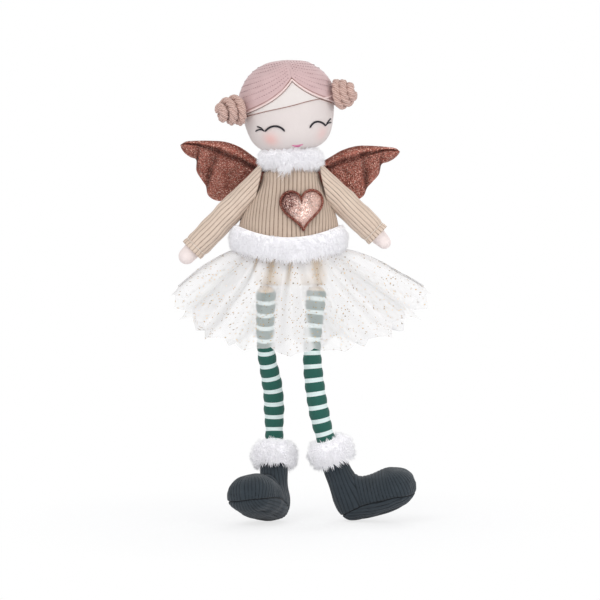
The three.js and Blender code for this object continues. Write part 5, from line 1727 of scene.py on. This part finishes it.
for name, side in SIDES.items():
    place = turned_frame(JOINTS[f"{name}_wing_fold"], 0)
    for label, front in (("front", 1), ("back", 0)):
        outside, shade = wing_sheet(side, front)
        inside = outside * [1, PANEL_INSIDE, 1]
        points = placed(two_faced(outside, inside, shut=True), place)
        marks = two_faced(shade, shade, shut=True)
        panel = piece(f"{name}_wing_{label}_panel", [surface(points, shade=marks)], COPPER_GLITTER,
                      f"{name}_wing", f"{name}_wing_{label}", closed=False)
    pads = [wing_sheet(side, front, 24, 40)[0] * [1, WADDING_DEEP, 1] for front in (1, 0)]
    middle = pads[0].mean((0, 1)) * [1, 0, 1]
    near, far = [mix(middle, pad, WADDING_SIZE) for pad in pads]
    pad = surface(placed(two_faced(near, far, shut=True), place))
    piece(f"{name}_wing_pad", [pad], FIBRE, f"{name}_wing", f"{name}_wing_wadding",
          closed=False)

# %% [markdown]
# ## Floor and sky
# The floor lies under the lowest point of the boots. It is plain and nearly white: near the boots it takes
# their shadow, and further off it fades into white for the camera. The sky lights the doll softly, and the
# camera sees plain white instead of it.

# %% Floor
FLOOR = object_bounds()[0].z
FLOOR_SIZE = 6.0
FADE_FROM = 0.08
FADE_TO = 0.34
NEAR_WHITE = 0.72  # share of plain white under the doll, which keeps its shadow pale


def seen_directly(tree):
    """1 for what the camera sees straight or through something clear, 0 for light that bounces."""
    path = node(tree, "ShaderNodeLightPath")
    return maths(tree, "MAXIMUM", path.outputs["Is Camera Ray"], path.outputs["Is Transmission Ray"])


corners = [(x * FLOOR_SIZE, y * FLOOR_SIZE, FLOOR) for x, y in ((-1, -1), (1, -1), (1, 1), (-1, 1))]
floor_mesh = bpy.data.meshes.new("floor")
floor_mesh.from_pydata(corners, [], [(0, 1, 2, 3)])
floor = bpy.data.objects.new("floor", floor_mesh)
bpy.context.scene.collection.objects.link(floor)
PALE_FLOOR, floor_tree, floor_shader = finish_of("pale_floor", roughness=0.8)
floor_shader.inputs["Base Color"].default_value = linear("f6f7fa")
floor_place = place_on(floor_tree, "Object")
flat_place = vector_maths(floor_tree, "MULTIPLY", floor_place, (1, 1, 0))
far = node(floor_tree, "ShaderNodeVectorMath", {0: flat_place}, operation="LENGTH").outputs["Value"]
fade = smooth_range(floor_tree, far, FADE_FROM, FADE_TO, NEAR_WHITE)
white = node(floor_tree, "ShaderNodeEmission", {"Color": WHITE, "Strength": 1.0})
faded = maths(floor_tree, "MULTIPLY", fade, seen_directly(floor_tree))
floor_mix = node(floor_tree, "ShaderNodeMixShader",
                 {0: faded, 1: floor_shader.outputs[0], 2: white.outputs[0]})
floor_tree.links.new(floor_mix.outputs[0], floor_tree.nodes["Material Output"].inputs["Surface"])
floor_mesh.materials.append(PALE_FLOOR)
print("floor at", round(FLOOR * 1000, 1), "mm")

# %% Sky
SKY_LIGHT = 0.6
world = bpy.data.worlds.new("sky")
bpy.context.scene.world = world
world.use_nodes = True
sky = world.node_tree
sky_light = sky.nodes["Background"]
sky_light.inputs["Color"].default_value = WHITE
sky_light.inputs["Strength"].default_value = SKY_LIGHT
sky_seen = node(sky, "ShaderNodeBackground", {"Color": WHITE, "Strength": 1.0})
sky_mix = node(sky, "ShaderNodeMixShader",
               {0: seen_directly(sky), 1: sky_light.outputs[0], 2: sky_seen.outputs[0]})
sky.links.new(sky_mix.outputs[0], sky.nodes["World Output"].inputs["Surface"])
print("sky light", SKY_LIGHT)
